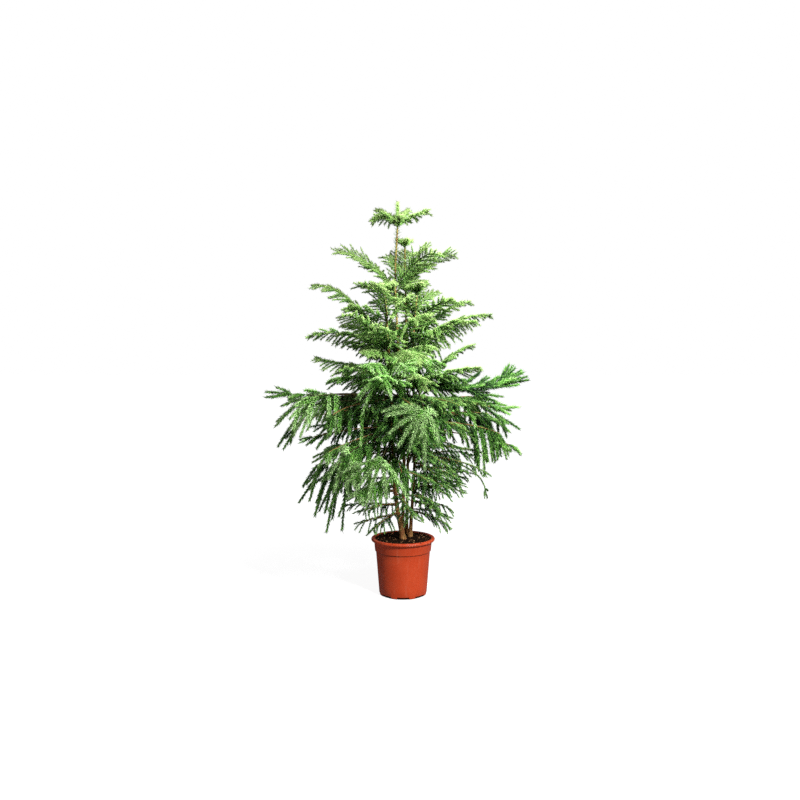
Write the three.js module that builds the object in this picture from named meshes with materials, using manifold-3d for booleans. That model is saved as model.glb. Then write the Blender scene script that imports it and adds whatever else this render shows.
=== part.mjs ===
// A young Norfolk Island pine: four stems in one nursery pot, each with whorls of flat fronds.
// Millimetres, +Z up, origin at the centre of the pot's flat underside, -Y towards the viewer.
import * as THREE from "three";
import { mergeVertices } from "three/addons/utils/BufferGeometryUtils.js";
import Module from "manifold-3d";

const wasm = await Module();
wasm.setup();

const UP = new THREE.Vector3(0, 0, 1);

// Clearances: parts that seat on each other, a frond's root, and a spray beside other pieces
const SEAT_GAP = 0.3;
const ROOT_GAP = 0.45;
const SPRAY_GAP = 0.6;

// Points closer than this are one point, and edges shorter than a sliver are drawn together after a join
const SAME_POINT = 1e-4;
const SLIVER = 0.05;

// Numbers of the repeatable scatter
const SCATTER_STRIDE = 12.9898;
const SCATTER_SCALE = 43758.5453;

// Nursery pot
const POT_HEIGHT = 189;
const POT_SIDES = 32;
const WALL = 2.2;
const FLOOR = 3;
const LIP_RADIUS = 105;
const LIP_DEPTH = 11;
const LIP_ARC_STEPS = 3;
const COLLAR_TOP_RADIUS = 95.5;
const COLLAR_FOOT_RADIUS = 92.5;
const COLLAR_DEPTH = 32;
const BODY_TOP_RADIUS = 89.5;
const BODY_FOOT_RADIUS = 78.5;
const FOOT_CHAMFER = 5;
const DRAIN_COUNT = 8;
const DRAIN_WIDTH = 40;
const DRAIN_HEIGHT = 7.5;
const DRAIN_DEPTH = 16;

// Potting soil, with a shallow dish towards the wall
const SOIL_LEVEL = 185;
const SOIL_DISH = 2;
const SOIL_FLAT_RADIUS = 84;

// Stems: the foot, two bends and the tip of each axis, and the radius at foot and tip
const STEM_SIDES = 10;
const STEM_STEPS = 12;
const STEM_STEP_POWER = 1.6;
const STEM_TAPER_POWER = 0.6;
const FLARE_SHARE = 0.4;
const FLARE_HEIGHT = 16;
const FOOT_LEVEL = SOIL_LEVEL + SEAT_GAP;
const STEMS = {
  tall: {
    path: [[-2, 24, FOOT_LEVEL], [3, 26, 480], [-26, 24, 1030], [-18, 22, 1205]],
    foot: 6.6,
    tip: 2.8,
  },
  back: {
    path: [[12, 66, FOOT_LEVEL], [17, 82, 480], [9, 84, 960], [6, 82, 1146]],
    foot: 6,
    tip: 2.4,
  },
  right: {
    path: [[24, 28, FOOT_LEVEL], [39, 36, 460], [32, 36, 800], [46, 36, 986]],
    foot: 6.4,
    tip: 2.4,
  },
  front: {
    path: [[0, -14, FOOT_LEVEL], [-24, -30, 330], [-41, -40, 700], [-56, -42, 982]],
    foot: 9,
    tip: 2.6,
  },
};

// Styles of fronds. age goes from 0, a young feather, to 1, an old bough with ropes of needles; spray is
// the longest side twig, and hang how far the twigs bend down, or up where negative. A style may also set
// the turn of the frond about its rib (roll), the opening of its first and last twigs in degrees (spread),
// the bare share of its rib (first), the length of its last twigs as a share of the longest (tip), how much
// less they hang (lift), the share of a twig's length where it bends (knee), the powers that bring the
// longest twigs nearer the root (peak) and narrow the frond beyond them (taper), and ropes at the tip of
// the rib, each with its own azimuth, reach, rise and fall.
const PLUME = { peak: 0.55, taper: 1.4, tip: 0.26 };
const FEATHER = { age: 0, spray: 55, hang: 0.45 };
const ROPES = { age: 1, spray: 145, hang: 0.75 };
const CURTAIN = { ...ROPES, hang: 0.92, knee: 0.24, lift: 0.3 };
const CLUMP = { ...ROPES, spray: 150, hang: 0.8, knee: 0.3, spread: [75, 35], first: 0.6, tip: 0.9 };
const PRONGS = {
  ...ROPES, spray: 80, hang: 0.3, first: 0.64, tip: 0.7,
  ropes: [[172, 85, 5, 2], [186, 80, -6, -8], [160, 55, 25, 15]],
};
const FAN = {
  ...ROPES, spray: 85, hang: -0.2, roll: 60, spread: [12, 12], first: 0.15, tip: 0.85, lift: 0,
  ropes: [[20, 75, 50, 62], [0, 88, 28, 36], [12, 94, 22, 26], [350, 98, 15, 18], [8, 106, 8, 10],
    [25, 84, 42, 50], [0, 62, 60, 66]],
};
const HAND = {
  ...ROPES, spray: 60, first: 0.92,
  ropes: [[188, 130, 24, -22], [196, 112, 4, -14], [204, 125, -18, -38], [210, 130, -38, -58],
    [222, 125, -52, -70], [250, 75, -55, -75], [330, 100, -48, -75], [270, 170, -70, -86]],
};

// Fronds, whorl by whorl. Each frond is [azimuth, reach, rise, fall]: degrees anticlockwise from +X seen
// from above, length of the rib, and the rib's slope in degrees at its root and its tip; it may have a
// style of its own on top of the whorl's.
const WHORLS = [
  { stem: "tall", height: 1000, style: { age: 0, spray: 56, hang: -0.1 },
    fronds: [[2, 242, 47, -6], [72, 250, 52, -4], [180, 234, 47, -6], [318, 200, 44, -6]] },
  { stem: "tall", height: 790, style: { ...PLUME, age: 0.2, spray: 78, hang: 0.4 },
    fronds: [[192, 325, 27, -28], [282, 250, 6, -40], [124, 270, 40, -6], [332, 295, 30, -12]] },
  { stem: "tall", height: 700, style: { ...PLUME, age: 0.24, spray: 86, hang: 0.4 },
    fronds: [[176, 285, 20, 5], [218, 240, 16, -8], [286, 250, 8, -12]] },
  { stem: "back", height: 935, style: { age: 0, spray: 56, hang: 0.1 },
    fronds: [[76, 250, 46, -6], [136, 200, 40, -6], [202, 190, 36, -10]] },
  { stem: "back", height: 770, style: { ...PLUME, age: 0.2, spray: 78, hang: 0.4 },
    fronds: [[355, 345, 45, -12], [48, 310, 40, -8], [102, 320, 38, -10], [154, 280, 36, -10]] },
  { stem: "back", height: 600, style: ROPES,
    fronds: [[38, 350, 14, -16], [90, 360, 12, -20], [142, 350, 10, -16]] },
  { stem: "right", height: 905, style: { age: 0, spray: 55, hang: 0.1 },
    fronds: [[318, 185, 32, -16]] },
  { stem: "right", height: 840, style: { ...PLUME, age: 0.1, spray: 66, hang: 0.2 },
    fronds: [[5, 238, 48, -2], [45, 230, 55, -4]] },
  { stem: "right", height: 680, style: { age: 0.24, spray: 75, hang: 0.2 },
    fronds: [[8, 282, -2, 10, FAN], [26, 262, 40, 12, PLUME], [336, 232, 20, 0, PLUME],
      [276, 290, -9, -28, HAND]] },
  { stem: "right", height: 575, style: { ...CURTAIN, spray: 150, spread: [45, 22], first: 0.6 },
    fronds: [[354, 285, -2, -25], [318, 220, 0, -25, { ...FEATHER, spray: 80 }], [24, 330, 5, -20]] },
  { stem: "right", height: 455, style: FEATHER,
    fronds: [[20, 210, 8, -28], [344, 250, -4, -35, { hang: 0.9, first: 0.4 }], [304, 180, 0, -30]] },
  { stem: "right", height: 300, style: FEATHER,
    fronds: [[4, 135, 0, -45], [322, 125, -5, -45]] },
  { stem: "front", height: 900, style: { age: 0, spray: 55, hang: 0.1 },
    fronds: [[198, 135, 30, -20], [262, 150, 54, 10]] },
  { stem: "front", height: 815, style: { ...PLUME, age: 0.2, spray: 74, hang: 0.3 },
    fronds: [[178, 345, 58, -4], [222, 215, 40, -5], [316, 210, 42, -12]] },
  { stem: "front", height: 650, style: ROPES,
    fronds: [[174, 320, 2, 3, PRONGS], [206, 310, 8, -22, CLUMP],
      [258, 240, 26, -12, { age: 0.4, spray: 100, hang: 0.5 }], [296, 215, -8, -30, CURTAIN]] },
  { stem: "front", height: 545, style: { ...CURTAIN, spray: 120 },
    fronds: [[235, 230, -8, -25], [212, 240, -10, -28, { age: 0.5, spray: 80, hang: 0.5 }]] },
  { stem: "front", height: 440, style: { ...CURTAIN, spray: 190, hang: 0.65, knee: 0.12, first: 0.4 },
    fronds: [[183, 235, 2, -4]] },
  { stem: "front", height: 385, style: { age: 0.3, spray: 65, hang: 0.9, knee: 0.3 },
    fronds: [[238, 210, 4, -28], [186, 150, 2, -25, FEATHER]] },
];

// Frond proportions; of two values, the first is for young fronds and the second for old ones
const RIB_SIDES = 3;
const RIB_STEPS = 5;
const RIB_ROOT_RADIUS = 2.6;
const RIB_TIP_RADIUS = 1.4;
const RIB_KNEE = 0.7;
const WHORL_STAGGER = 6;
const FIRST_PAIR = [0.1, 0.3];
const LAST_PAIR = 0.94;
const PAIR_SPACING = 50;
const SPREAD_ROOT = 62;
const SPREAD_TIP = [40, 24];
const SPRAY_KNEE = [0.4, 0.42];
const SPRAY_WIDTH = 36;
const ROPE_WIDTH = 20;
const SPRAY_THICKNESS = 6;
const SPRAY_DROP = 0.35;
const ROOT_SINK = 0.8;
const LAST_SPRAY = 24;
const TIP_TWIG = [0.45, 0.5];
const PEAK_POWER = [0.8, 1.2];
const TIP_LIFT = 0.8;
const TIP_LIFT_POWER = 4;
const LENGTH_JITTER = 0.12;
const SPREAD_JITTER = 7;
const ROLL_LEAST = 12;
const ROLL_MOST = 32;

// Tufts: a leader on each stem's tip, and short shoots round its root in the form of fronds
const TUFT_TIP_RADIUS = 1;
const TUFT_KNEE = 0.6;
const TUFT_FORK = 0.85;
const TUFT_SPREAD = 40;
const TUFT_SIDE = 0.4;
const TUFT_SEAT = 5;
const TUFT_WIDTH = 20;
const LEADER_KNEE = 0.5;
const TUFTS = [
  { stem: "tall", leader: 78,
    shoots: [[186, 110, 43, -42], [158, 95, 52, 15], [55, 85, 55, 25], [5, 110, 38, 5], [285, 55, 45, 0],
      [100, 90, 45, -5]] },
  { stem: "back", leader: 22,
    shoots: [[20, 32, 55, 10], [110, 35, 55, 10], [200, 35, 55, 10], [290, 30, 55, 10]] },
  { stem: "right", leader: 26,
    shoots: [[0, 50, 65, 25], [72, 65, 55, 0], [144, 42, 65, 25], [216, 55, 50, -20], [288, 60, 55, -5]] },
  { stem: "front", leader: 30,
    shoots: [[36, 50, 68, 30], [108, 65, 52, -10], [180, 70, 48, -30], [252, 80, 45, -35],
      [324, 50, 60, 0]] },
];

// Finishes
const finish = (color, roughness) => new THREE.MeshStandardMaterial({ color, roughness, metalness: 0 });
const TERRACOTTA_PLASTIC = finish(0xc24f2d, 0.5);
const PEAT = finish(0x2b1d14, 1);
const BARK = finish(0x7a4a30, 0.9);
const YOUNG_GREEN = finish(0x7fb552, 0.6);
const MATURE_GREEN = finish(0x3f7a3c, 0.65);
const YOUNG_ABOVE = 800;

const radians = THREE.MathUtils.degToRad;
const blend = THREE.MathUtils.lerp;

// Unit vector with that azimuth and slope, in degrees
function heading(azimuth, slope) {
  const level = Math.cos(radians(slope));
  return new THREE.Vector3(
    Math.cos(radians(azimuth)) * level,
    Math.sin(radians(azimuth)) * level,
    Math.sin(radians(slope)),
  );
}

// Repeatable number from -1 to 1 for each seed
function jitter(seed) {
  const wave = Math.sin(seed * SCATTER_STRIDE) * SCATTER_SCALE;
  return 2 * (wave - Math.floor(wave)) - 1;
}

// A geometry as a solid that can be joined and cut
function solidOf(geometry) {
  const bare = geometry.clone();
  bare.deleteAttribute("normal");
  bare.deleteAttribute("uv");
  const merged = mergeVertices(bare, SAME_POINT);
  return new wasm.Manifold(
    new wasm.Mesh({
      numProp: 3,
      vertProperties: new Float32Array(merged.attributes.position.array),
      triVerts: new Uint32Array(merged.index.array),
    }),
  );
}

function joined(solids) {
  return solids.reduce((whole, piece) => whole.add(piece));
}

function geometryOf(solid) {
  const mesh = solid.getMesh();
  const geometry = new THREE.BufferGeometry();
  geometry.setAttribute("position", new THREE.BufferAttribute(new Float32Array(mesh.vertProperties), 3));
  geometry.setIndex(new THREE.BufferAttribute(new Uint32Array(mesh.triVerts), 1));
  geometry.computeVertexNormals();
  return geometry;
}

function indexedGeometry(points, triangles) {
  const geometry = new THREE.BufferGeometry().setFromPoints(points);
  geometry.setIndex(triangles);
  return geometry;
}

// Closed limb along a curve that lies square to "across", cut flat at its root and pointed at its tip
function taperedLimb(curve, across, rootRadius, tipRadius) {
  const points = [];
  const triangles = [];
  for (let ring = 0; ring <= RIB_STEPS; ring++) {
    const centre = curve.getPointAt(ring / RIB_STEPS);
    const over = curve.getTangentAt(ring / RIB_STEPS).cross(across);
    const radius = blend(rootRadius, tipRadius, ring / RIB_STEPS);
    for (let side = 0; side < RIB_SIDES; side++) {
      const turn = (2 * Math.PI * side) / RIB_SIDES;
      points.push(
        centre
          .clone()
          .addScaledVector(over, radius * Math.cos(turn))
          .addScaledVector(across, -radius * Math.sin(turn)),
      );
    }
  }
  const tip = points.length;
  points.push(curve.getPoint(1).addScaledVector(curve.getTangent(1), 2 * tipRadius));
  for (let ring = 0; ring <= RIB_STEPS; ring++) {
    for (let side = 0; side < RIB_SIDES; side++) {
      const a = ring * RIB_SIDES + side;
      const b = ring * RIB_SIDES + ((side + 1) % RIB_SIDES);
      if (ring === RIB_STEPS) triangles.push(a, b, tip);
      else triangles.push(a, b, b + RIB_SIDES, a, b + RIB_SIDES, a + RIB_SIDES);
    }
  }
  for (let side = 1; side < RIB_SIDES - 1; side++) triangles.push(0, side + 1, side);
  return indexedGeometry(points, triangles);
}

// A twig with its needles: a blade of eight faces, widest at its knee
function sprayBlade({ root, knee, tip, along, width = SPRAY_WIDTH }) {
  const line = tip.clone().sub(root).normalize();
  const across = along.clone().addScaledVector(line, -along.dot(line)).normalize();
  const over = line.clone().cross(across);
  const corner = (direction, distance) => knee.clone().addScaledVector(direction, distance);
  const points = [
    corner(across, width / 2),
    corner(over, SPRAY_THICKNESS / 2),
    corner(across, -width / 2),
    corner(over, -SPRAY_THICKNESS / 2),
    root,
    tip,
  ];
  const triangles = [];
  for (let side = 0; side < 4; side++) {
    const next = (side + 1) % 4;
    triangles.push(side, next, 5, next, side, 4);
  }
  return indexedGeometry(points, triangles);
}

// Rib of a frond: straight at first, then arching over to its tip
function frondRib(root, azimuth, reach, rise, fall) {
  const knee = root.clone().addScaledVector(heading(azimuth, rise), reach * RIB_KNEE);
  const tip = knee.clone().addScaledVector(heading(azimuth, fall), reach * (1 - RIB_KNEE));
  return new THREE.QuadraticBezierCurve3(root, knee, tip);
}

// Point on the straight run between two rings of a rib
function ribPoint(rib, share) {
  const step = Math.min(Math.floor(share * RIB_STEPS), RIB_STEPS - 1);
  const start = rib.getPointAt(step / RIB_STEPS);
  const end = rib.getPointAt((step + 1) / RIB_STEPS);
  return start.lerp(end, share * RIB_STEPS - step);
}

// Length of the side twigs along a rib, as a share of the longest
function twigShare(share, frond) {
  const tip = frond.tip ?? blend(...TIP_TWIG, frond.age);
  const peak = frond.peak ?? blend(...PEAK_POWER, frond.age);
  return tip + (1 - tip) * Math.pow(Math.sin(Math.PI * Math.pow(share, peak)), frond.taper ?? 1);
}

// Turn of a frond about its rib, one way or the other
function rollOf(seed) {
  const lean = jitter(seed);
  return Math.sign(lean) * blend(ROLL_LEAST, ROLL_MOST, Math.abs(lean));
}

// Side twigs of a frond, in alternating pairs, the ropes at its tip and the one that ends its rib. Each
// is a list of blades that grow or are left out together.
function frondSprays(frond) {
  const { rib, azimuth, reach, age, spray, hang, seed } = frond;
  const side = heading(azimuth + 90, frond.roll ?? rollOf(seed));
  const first = frond.first ?? blend(...FIRST_PAIR, age);
  const bend = frond.knee ?? blend(...SPRAY_KNEE, age);
  const lift = frond.lift ?? TIP_LIFT;
  const [openFirst, openLast] = frond.spread ?? [SPREAD_ROOT, blend(...SPREAD_TIP, age)];
  const pairs = Math.max(1, Math.round((reach * (LAST_PAIR - first)) / PAIR_SPACING));
  const sprays = [];
  for (let i = 0; i < 2 * pairs; i++) {
    const outward = i / (2 * pairs - 1);
    const share = blend(first, LAST_PAIR, outward);
    const along = rib.getTangentAt(share);
    const opening = blend(openFirst, openLast, outward);
    const spread = radians(opening + SPREAD_JITTER * jitter(seed + 2 * i));
    const length = spray * twigShare(share, frond) * (1 + LENGTH_JITTER * jitter(seed + 2 * i + 1));
    const droop = hang * (1 - lift * Math.pow(share, TIP_LIFT_POWER));
    const out = along
      .clone()
      .multiplyScalar(Math.cos(spread))
      .addScaledVector(side, (i % 2 ? 1 : -1) * Math.sin(spread))
      .addScaledVector(UP, -droop * SPRAY_DROP)
      .normalize();
    const end = out
      .clone()
      .multiplyScalar(1 - Math.abs(droop))
      .addScaledVector(UP, -droop)
      .normalize();
    const root = ribPoint(rib, share).addScaledVector(out, -ROOT_SINK);
    const knee = root.clone().addScaledVector(out, length * bend);
    const tip = knee.clone().addScaledVector(end, length * (1 - bend));
    sprays.push([{ root, knee, tip, along }]);
  }
  for (const [turn, length, rise, fall] of frond.ropes ?? []) {
    const root = rib.getPoint(1);
    const knee = root.clone().addScaledVector(heading(turn, rise), length / 2);
    const tip = knee.clone().addScaledVector(heading(turn, fall), length / 2);
    sprays.push([{ root, knee, tip, along: heading(turn + 90, 0), width: ROPE_WIDTH }]);
  }
  const last = {
    root: ribPoint(rib, LAST_PAIR),
    knee: ribPoint(rib, (1 + LAST_PAIR) / 2),
    tip: rib.getPoint(1).addScaledVector(rib.getTangent(1), LAST_SPRAY),
    along: side,
    width: ROPE_WIDTH,
  };
  return [...sprays, [last]];
}

// Pot: a lip that stands out, a collar, a tapering body and slots round the foot
function potGeometry() {
  const collarTop = POT_HEIGHT - LIP_DEPTH;
  const step = collarTop - COLLAR_DEPTH;
  const lipRound = LIP_DEPTH / 2;
  const profile = [
    [0, 0],
    [BODY_FOOT_RADIUS - FOOT_CHAMFER, 0],
    [BODY_FOOT_RADIUS, FOOT_CHAMFER],
    [BODY_TOP_RADIUS, step],
    [COLLAR_FOOT_RADIUS, step],
    [COLLAR_TOP_RADIUS, collarTop],
  ];
  for (let i = 0; i <= LIP_ARC_STEPS; i++) {
    const turn = Math.PI * (i / LIP_ARC_STEPS - 0.5);
    profile.push([
      LIP_RADIUS - lipRound + lipRound * Math.cos(turn),
      collarTop + lipRound + lipRound * Math.sin(turn),
    ]);
  }
  profile.push(
    [COLLAR_TOP_RADIUS - WALL, POT_HEIGHT],
    [COLLAR_FOOT_RADIUS - WALL, step + 2 * WALL],
    [BODY_TOP_RADIUS - WALL, step + WALL],
    [BODY_FOOT_RADIUS - WALL, FLOOR],
    [0, FLOOR],
  );
  let solid = solidOf(latheUp(profile));
  for (let i = 0; i < DRAIN_COUNT; i++) {
    const slot = new THREE.BoxGeometry(DRAIN_DEPTH, DRAIN_WIDTH, 2 * DRAIN_HEIGHT);
    slot.translate(BODY_FOOT_RADIUS, 0, 0);
    slot.rotateZ(2 * Math.PI * (i / DRAIN_COUNT) + Math.PI / 2);
    solid = solid.subtract(solidOf(slot));
  }
  return geometryOf(solid);
}

function latheUp(profile) {
  const points = profile.map(([radius, height]) => new THREE.Vector2(radius, height));
  return new THREE.LatheGeometry(points, POT_SIDES).rotateX(Math.PI / 2);
}

function soilGeometry() {
  const step = POT_HEIGHT - LIP_DEPTH - COLLAR_DEPTH;
  const inside = WALL + SEAT_GAP;
  const edge = SOIL_LEVEL - SOIL_DISH;
  const innerStep = step + 2 * WALL;
  const collarRise = (edge - innerStep) / (POT_HEIGHT - innerStep);
  return latheUp([
    [0, FLOOR + SEAT_GAP],
    [BODY_FOOT_RADIUS - inside, FLOOR + SEAT_GAP],
    [BODY_TOP_RADIUS - inside, step + WALL + SEAT_GAP],
    [COLLAR_FOOT_RADIUS - inside, step + 2 * WALL + SEAT_GAP],
    [blend(COLLAR_FOOT_RADIUS, COLLAR_TOP_RADIUS, collarRise) - inside, edge],
    [SOIL_FLAT_RADIUS, SOIL_LEVEL],
    [0, SOIL_LEVEL],
  ]);
}

// Rings of a stem, closer together at the flared foot
function stemRings({ path, foot, tip }) {
  const axis = new THREE.CatmullRomCurve3(path.map((point) => new THREE.Vector3(...point)));
  const bottom = path[0][2];
  const top = path[path.length - 1][2];
  const rings = [];
  for (let i = 0; i <= STEM_STEPS; i++) {
    const centre = axis.getPoint(Math.pow(i / STEM_STEPS, STEM_STEP_POWER));
    const share = (centre.z - bottom) / (top - bottom);
    const flare = foot * FLARE_SHARE * Math.exp((bottom - centre.z) / FLARE_HEIGHT);
    rings.push({ centre, radius: blend(foot, tip, Math.pow(share, STEM_TAPER_POWER)) + flare });
  }
  return rings;
}

// Centre and radius of a stem at some height
function stemAt(rings, height) {
  const above = rings.findIndex((ring) => ring.centre.z >= height);
  const upper = rings[above];
  const lower = rings[Math.max(above - 1, 0)];
  const share = above ? (height - lower.centre.z) / (upper.centre.z - lower.centre.z) : 1;
  return {
    centre: lower.centre.clone().lerp(upper.centre, share),
    radius: blend(lower.radius, upper.radius, share),
  };
}

function stemGeometry(rings) {
  const geometry = new THREE.CylinderGeometry(1, 1, STEM_STEPS, STEM_SIDES, STEM_STEPS);
  geometry.rotateX(Math.PI / 2);
  const position = geometry.attributes.position;
  for (let i = 0; i < position.count; i++) {
    const { centre, radius } = rings[Math.round(position.getZ(i) + STEM_STEPS / 2)];
    const x = centre.x + position.getX(i) * radius;
    const y = centre.y + position.getY(i) * radius;
    position.setXYZ(i, x, y, centre.z);
  }
  return geometry;
}

// Root of a frond, just clear of its stem's bark; the rib is flat underneath, half a radius down
function frondRoot(stem, height, azimuth, rise) {
  const { centre, radius } = stemAt(stem, height);
  const lean = Math.sin(radians(rise));
  const tilt = RIB_ROOT_RADIUS * Math.max(lean, -lean / 2);
  return centre.addScaledVector(heading(azimuth, 0), radius + ROOT_GAP + tilt);
}

function near(a, b, gap) {
  const first = a.boundingBox();
  const second = b.boundingBox();
  const meets = (i) => first.min[i] - gap < second.max[i] && second.min[i] - gap < first.max[i];
  return [0, 1, 2].every(meets);
}

function touches(solid, others) {
  const close = others.filter((other) => near(solid, other, SPRAY_GAP));
  return close.some((other) => solid.minGap(other, SPRAY_GAP) < SPRAY_GAP);
}

// Fronds start as ribs, all of them first, so that no spray grows into another frond's rib
function planFronds(stems) {
  const plans = [];
  const counts = {};
  for (const { stem, height, style, fronds } of WHORLS) {
    counts[stem] = (counts[stem] ?? 0) + 1;
    fronds.forEach(([azimuth, reach, rise, fall, own], index) => {
      const root = frondRoot(stems[stem], height + index * WHORL_STAGGER, azimuth, rise);
      const rib = frondRib(root, azimuth, reach, rise, fall);
      const limb = taperedLimb(rib, heading(azimuth + 90, 0), RIB_ROOT_RADIUS, RIB_TIP_RADIUS);
      const seed = azimuth + height;
      plans.push({
        name: `${stem}_frond_${counts[stem]}${"abcde"[index]}`,
        material: height > YOUNG_ABOVE ? YOUNG_GREEN : MATURE_GREEN,
        sprays: frondSprays({ rib, azimuth, reach, seed, ...style, ...own }),
        pieces: [solidOf(limb)],
      });
    });
  }
  return plans;
}

// A short frond of a tuft: one long blade with a smaller one on each side
function shootSpray(seat, [azimuth, reach, rise, fall]) {
  const side = heading(azimuth + 90, 0);
  const along = heading(azimuth, rise);
  const knee = seat.clone().addScaledVector(along, reach * TUFT_KNEE);
  const tip = knee.clone().addScaledVector(heading(azimuth, fall), reach * (1 - TUFT_KNEE));
  const blades = [{ root: seat, knee, tip, along: side, width: TUFT_WIDTH }];
  const half = (reach * TUFT_SIDE) / 2;
  for (const turn of [-TUFT_SPREAD, TUFT_SPREAD]) {
    const root = seat.clone().lerp(knee, TUFT_FORK);
    const bend = root.clone().addScaledVector(heading(azimuth + turn, rise / 2), half);
    const end = bend.clone().addScaledVector(heading(azimuth + turn, fall), half);
    blades.push({ root, knee: bend, tip: end, along, width: TUFT_WIDTH });
  }
  return blades;
}

// A leader that goes on from the trunk's tip, with a whorl of short fronds
function planTuft(stem, { leader, shoots }) {
  const { centre, radius } = stem[STEM_STEPS];
  const root = centre.clone().addScaledVector(UP, SEAT_GAP);
  const rib = new THREE.LineCurve3(root, root.clone().addScaledVector(UP, leader));
  const seat = root.clone().addScaledVector(UP, TUFT_SEAT);
  const across = heading(0, 0);
  const crest = { root: seat, knee: ribPoint(rib, LEADER_KNEE), tip: rib.getPoint(1), along: across };
  const sprays = [[{ ...crest, width: TUFT_WIDTH }], ...shoots.map((shoot) => shootSpray(seat, shoot))];
  const pieces = [solidOf(taperedLimb(rib, across, radius, TUFT_TIP_RADIUS))];
  return { material: YOUNG_GREEN, sprays, pieces };
}

function addMesh(group, name, geometry, material) {
  const mesh = new THREE.Mesh(geometry, material);
  mesh.name = name;
  group.add(mesh);
}

function buildPine() {
  const pine = new THREE.Group();
  addMesh(pine, "pot", potGeometry(), TERRACOTTA_PLASTIC);
  addMesh(pine, "soil", soilGeometry(), PEAT);

  const stems = {};
  const obstacles = [solidOf(pine.children[0].geometry)];
  for (const [name, shape] of Object.entries(STEMS)) {
    stems[name] = stemRings(shape);
    const geometry = stemGeometry(stems[name]);
    addMesh(pine, `${name}_stem`, geometry, BARK);
    obstacles.push(solidOf(geometry));
  }

  const plans = planFronds(stems);
  for (const tuft of TUFTS) {
    plans.push({ name: `${tuft.stem}_tuft`, ...planTuft(stems[tuft.stem], tuft) });
  }
  for (const plan of plans) {
    const neighbours = plans.filter((other) => other !== plan).flatMap((other) => other.pieces);
    const others = [...obstacles, ...neighbours];
    for (const spray of plan.sprays) {
      const grown = joined(spray.map((blade) => solidOf(sprayBlade(blade))));
      if (!touches(grown, others)) plan.pieces.push(grown);
    }
    addMesh(pine, plan.name, geometryOf(joined(plan.pieces).simplify(SLIVER)), plan.material);
  }
  return pine;
}

export default buildPine();
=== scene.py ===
# A potted Norfolk Island pine: four slender stems in one nursery pot, with bark, boughs and needles.
# Metres, +Z up, origin at the centre of the pot's flat underside, -Y towards the viewer.

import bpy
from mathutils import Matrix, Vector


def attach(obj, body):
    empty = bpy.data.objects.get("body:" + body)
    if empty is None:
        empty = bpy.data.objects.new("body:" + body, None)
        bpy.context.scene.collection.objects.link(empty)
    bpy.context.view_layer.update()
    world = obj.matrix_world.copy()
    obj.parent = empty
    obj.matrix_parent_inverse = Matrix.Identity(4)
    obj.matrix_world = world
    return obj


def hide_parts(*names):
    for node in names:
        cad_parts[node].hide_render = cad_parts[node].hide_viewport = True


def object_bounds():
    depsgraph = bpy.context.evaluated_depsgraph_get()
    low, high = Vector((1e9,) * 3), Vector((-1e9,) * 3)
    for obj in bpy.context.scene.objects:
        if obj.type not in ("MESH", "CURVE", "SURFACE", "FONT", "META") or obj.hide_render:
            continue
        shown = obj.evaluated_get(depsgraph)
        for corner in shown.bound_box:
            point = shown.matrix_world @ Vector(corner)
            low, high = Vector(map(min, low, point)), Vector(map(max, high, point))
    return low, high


bl_info = {
    "name": "Potted Norfolk Island Pine",
    "version": (1, 0, 0),
    "blender": (4, 5, 0),
    "location": "View3D > Sidebar > Pine",
    "description": "Dresses the packed solids of a potted pine with bark, boughs, twigs and needles",
    "category": "Object",
}

import math
from typing import NamedTuple

import bpy
import numpy as np
from bpy.props import FloatProperty, FloatVectorProperty, IntProperty, PointerProperty
from mathutils import Vector, noise

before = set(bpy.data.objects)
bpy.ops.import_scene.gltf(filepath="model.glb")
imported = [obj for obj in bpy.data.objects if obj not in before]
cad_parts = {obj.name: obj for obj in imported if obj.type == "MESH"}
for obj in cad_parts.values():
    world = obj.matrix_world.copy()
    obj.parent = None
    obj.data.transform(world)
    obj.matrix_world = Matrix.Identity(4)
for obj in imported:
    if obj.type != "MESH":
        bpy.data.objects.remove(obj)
CAD_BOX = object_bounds()
BODY = "root"
UP = np.array([0.0, 0.0, 1.0])
SEED = 20
PIECE_TRIANGLES = 190000
FULL_TURN = 2 * math.pi
MILLIMETRES = 1000
SMOOTH_ANGLE = 60
NOISE_LACUNARITY = 2.0
NOISE_OCTAVES = 3

# Nursery pot
POT_HEIGHT = 0.189
POT_SIDES = 128
WALL = 0.0022
FLOOR = 0.003
LIP_RADIUS = 0.105
LIP_DEPTH = 0.011
LIP_ARC_STEPS = 8
COLLAR_TOP_RADIUS = 0.0955
COLLAR_FOOT_RADIUS = 0.0925
COLLAR_DEPTH = 0.032
BODY_TOP_RADIUS = 0.0895
BODY_FOOT_RADIUS = 0.0785
BODY_STEPS = 6
FOOT_ROUND = 0.005
FOOT_ARC_STEPS = 4
DRAIN_COUNT = 8
DRAIN_WIDTH = 0.040
DRAIN_HEIGHT = 0.0075
DRAIN_DEPTH = 0.016
EDGE_ROUND = 0.0007
EDGE_SEGMENTS = 2
EDGE_ANGLE = 40
# Height of the painted shade band under the collar's step
STEP_SHADE_REACH = 0.0032

# Potting soil
SOIL_LEVEL = 0.185
SOIL_DISH = 0.002
SOIL_FLAT_RADIUS = 0.084
SOIL_RINGS = 30
SOIL_GAP = 0.0003
CLOD_SIZE = 0.013
CLOD_HEIGHT = 0.0034
CLOD_ROUGHNESS = 0.8
GRIT_SIZE = 0.0045
GRIT_HEIGHT = 0.0013
GRIT_LAYER = 5
FACING_UP = 0.9
CRUMB_SIZES = (0.0012, 0.0042)
CRUMB_FLATNESS = 0.6
CHIP_SIZES = (0.0018, 0.0055)
CHIP_FLATNESS = 0.35
CRUMBS_PER_CHIP = 6
CRUMB_SIZE_POWER = 2.2
CRUMB_LEAST = np.array([0.7, 0.5, 0.7])
CRUMB_MOST = np.array([1.3, 0.9, 1.0])
CRUMB_DENTS = (0.72, 1.2)
CRUMB_UPRIGHT = 1.4

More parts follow.
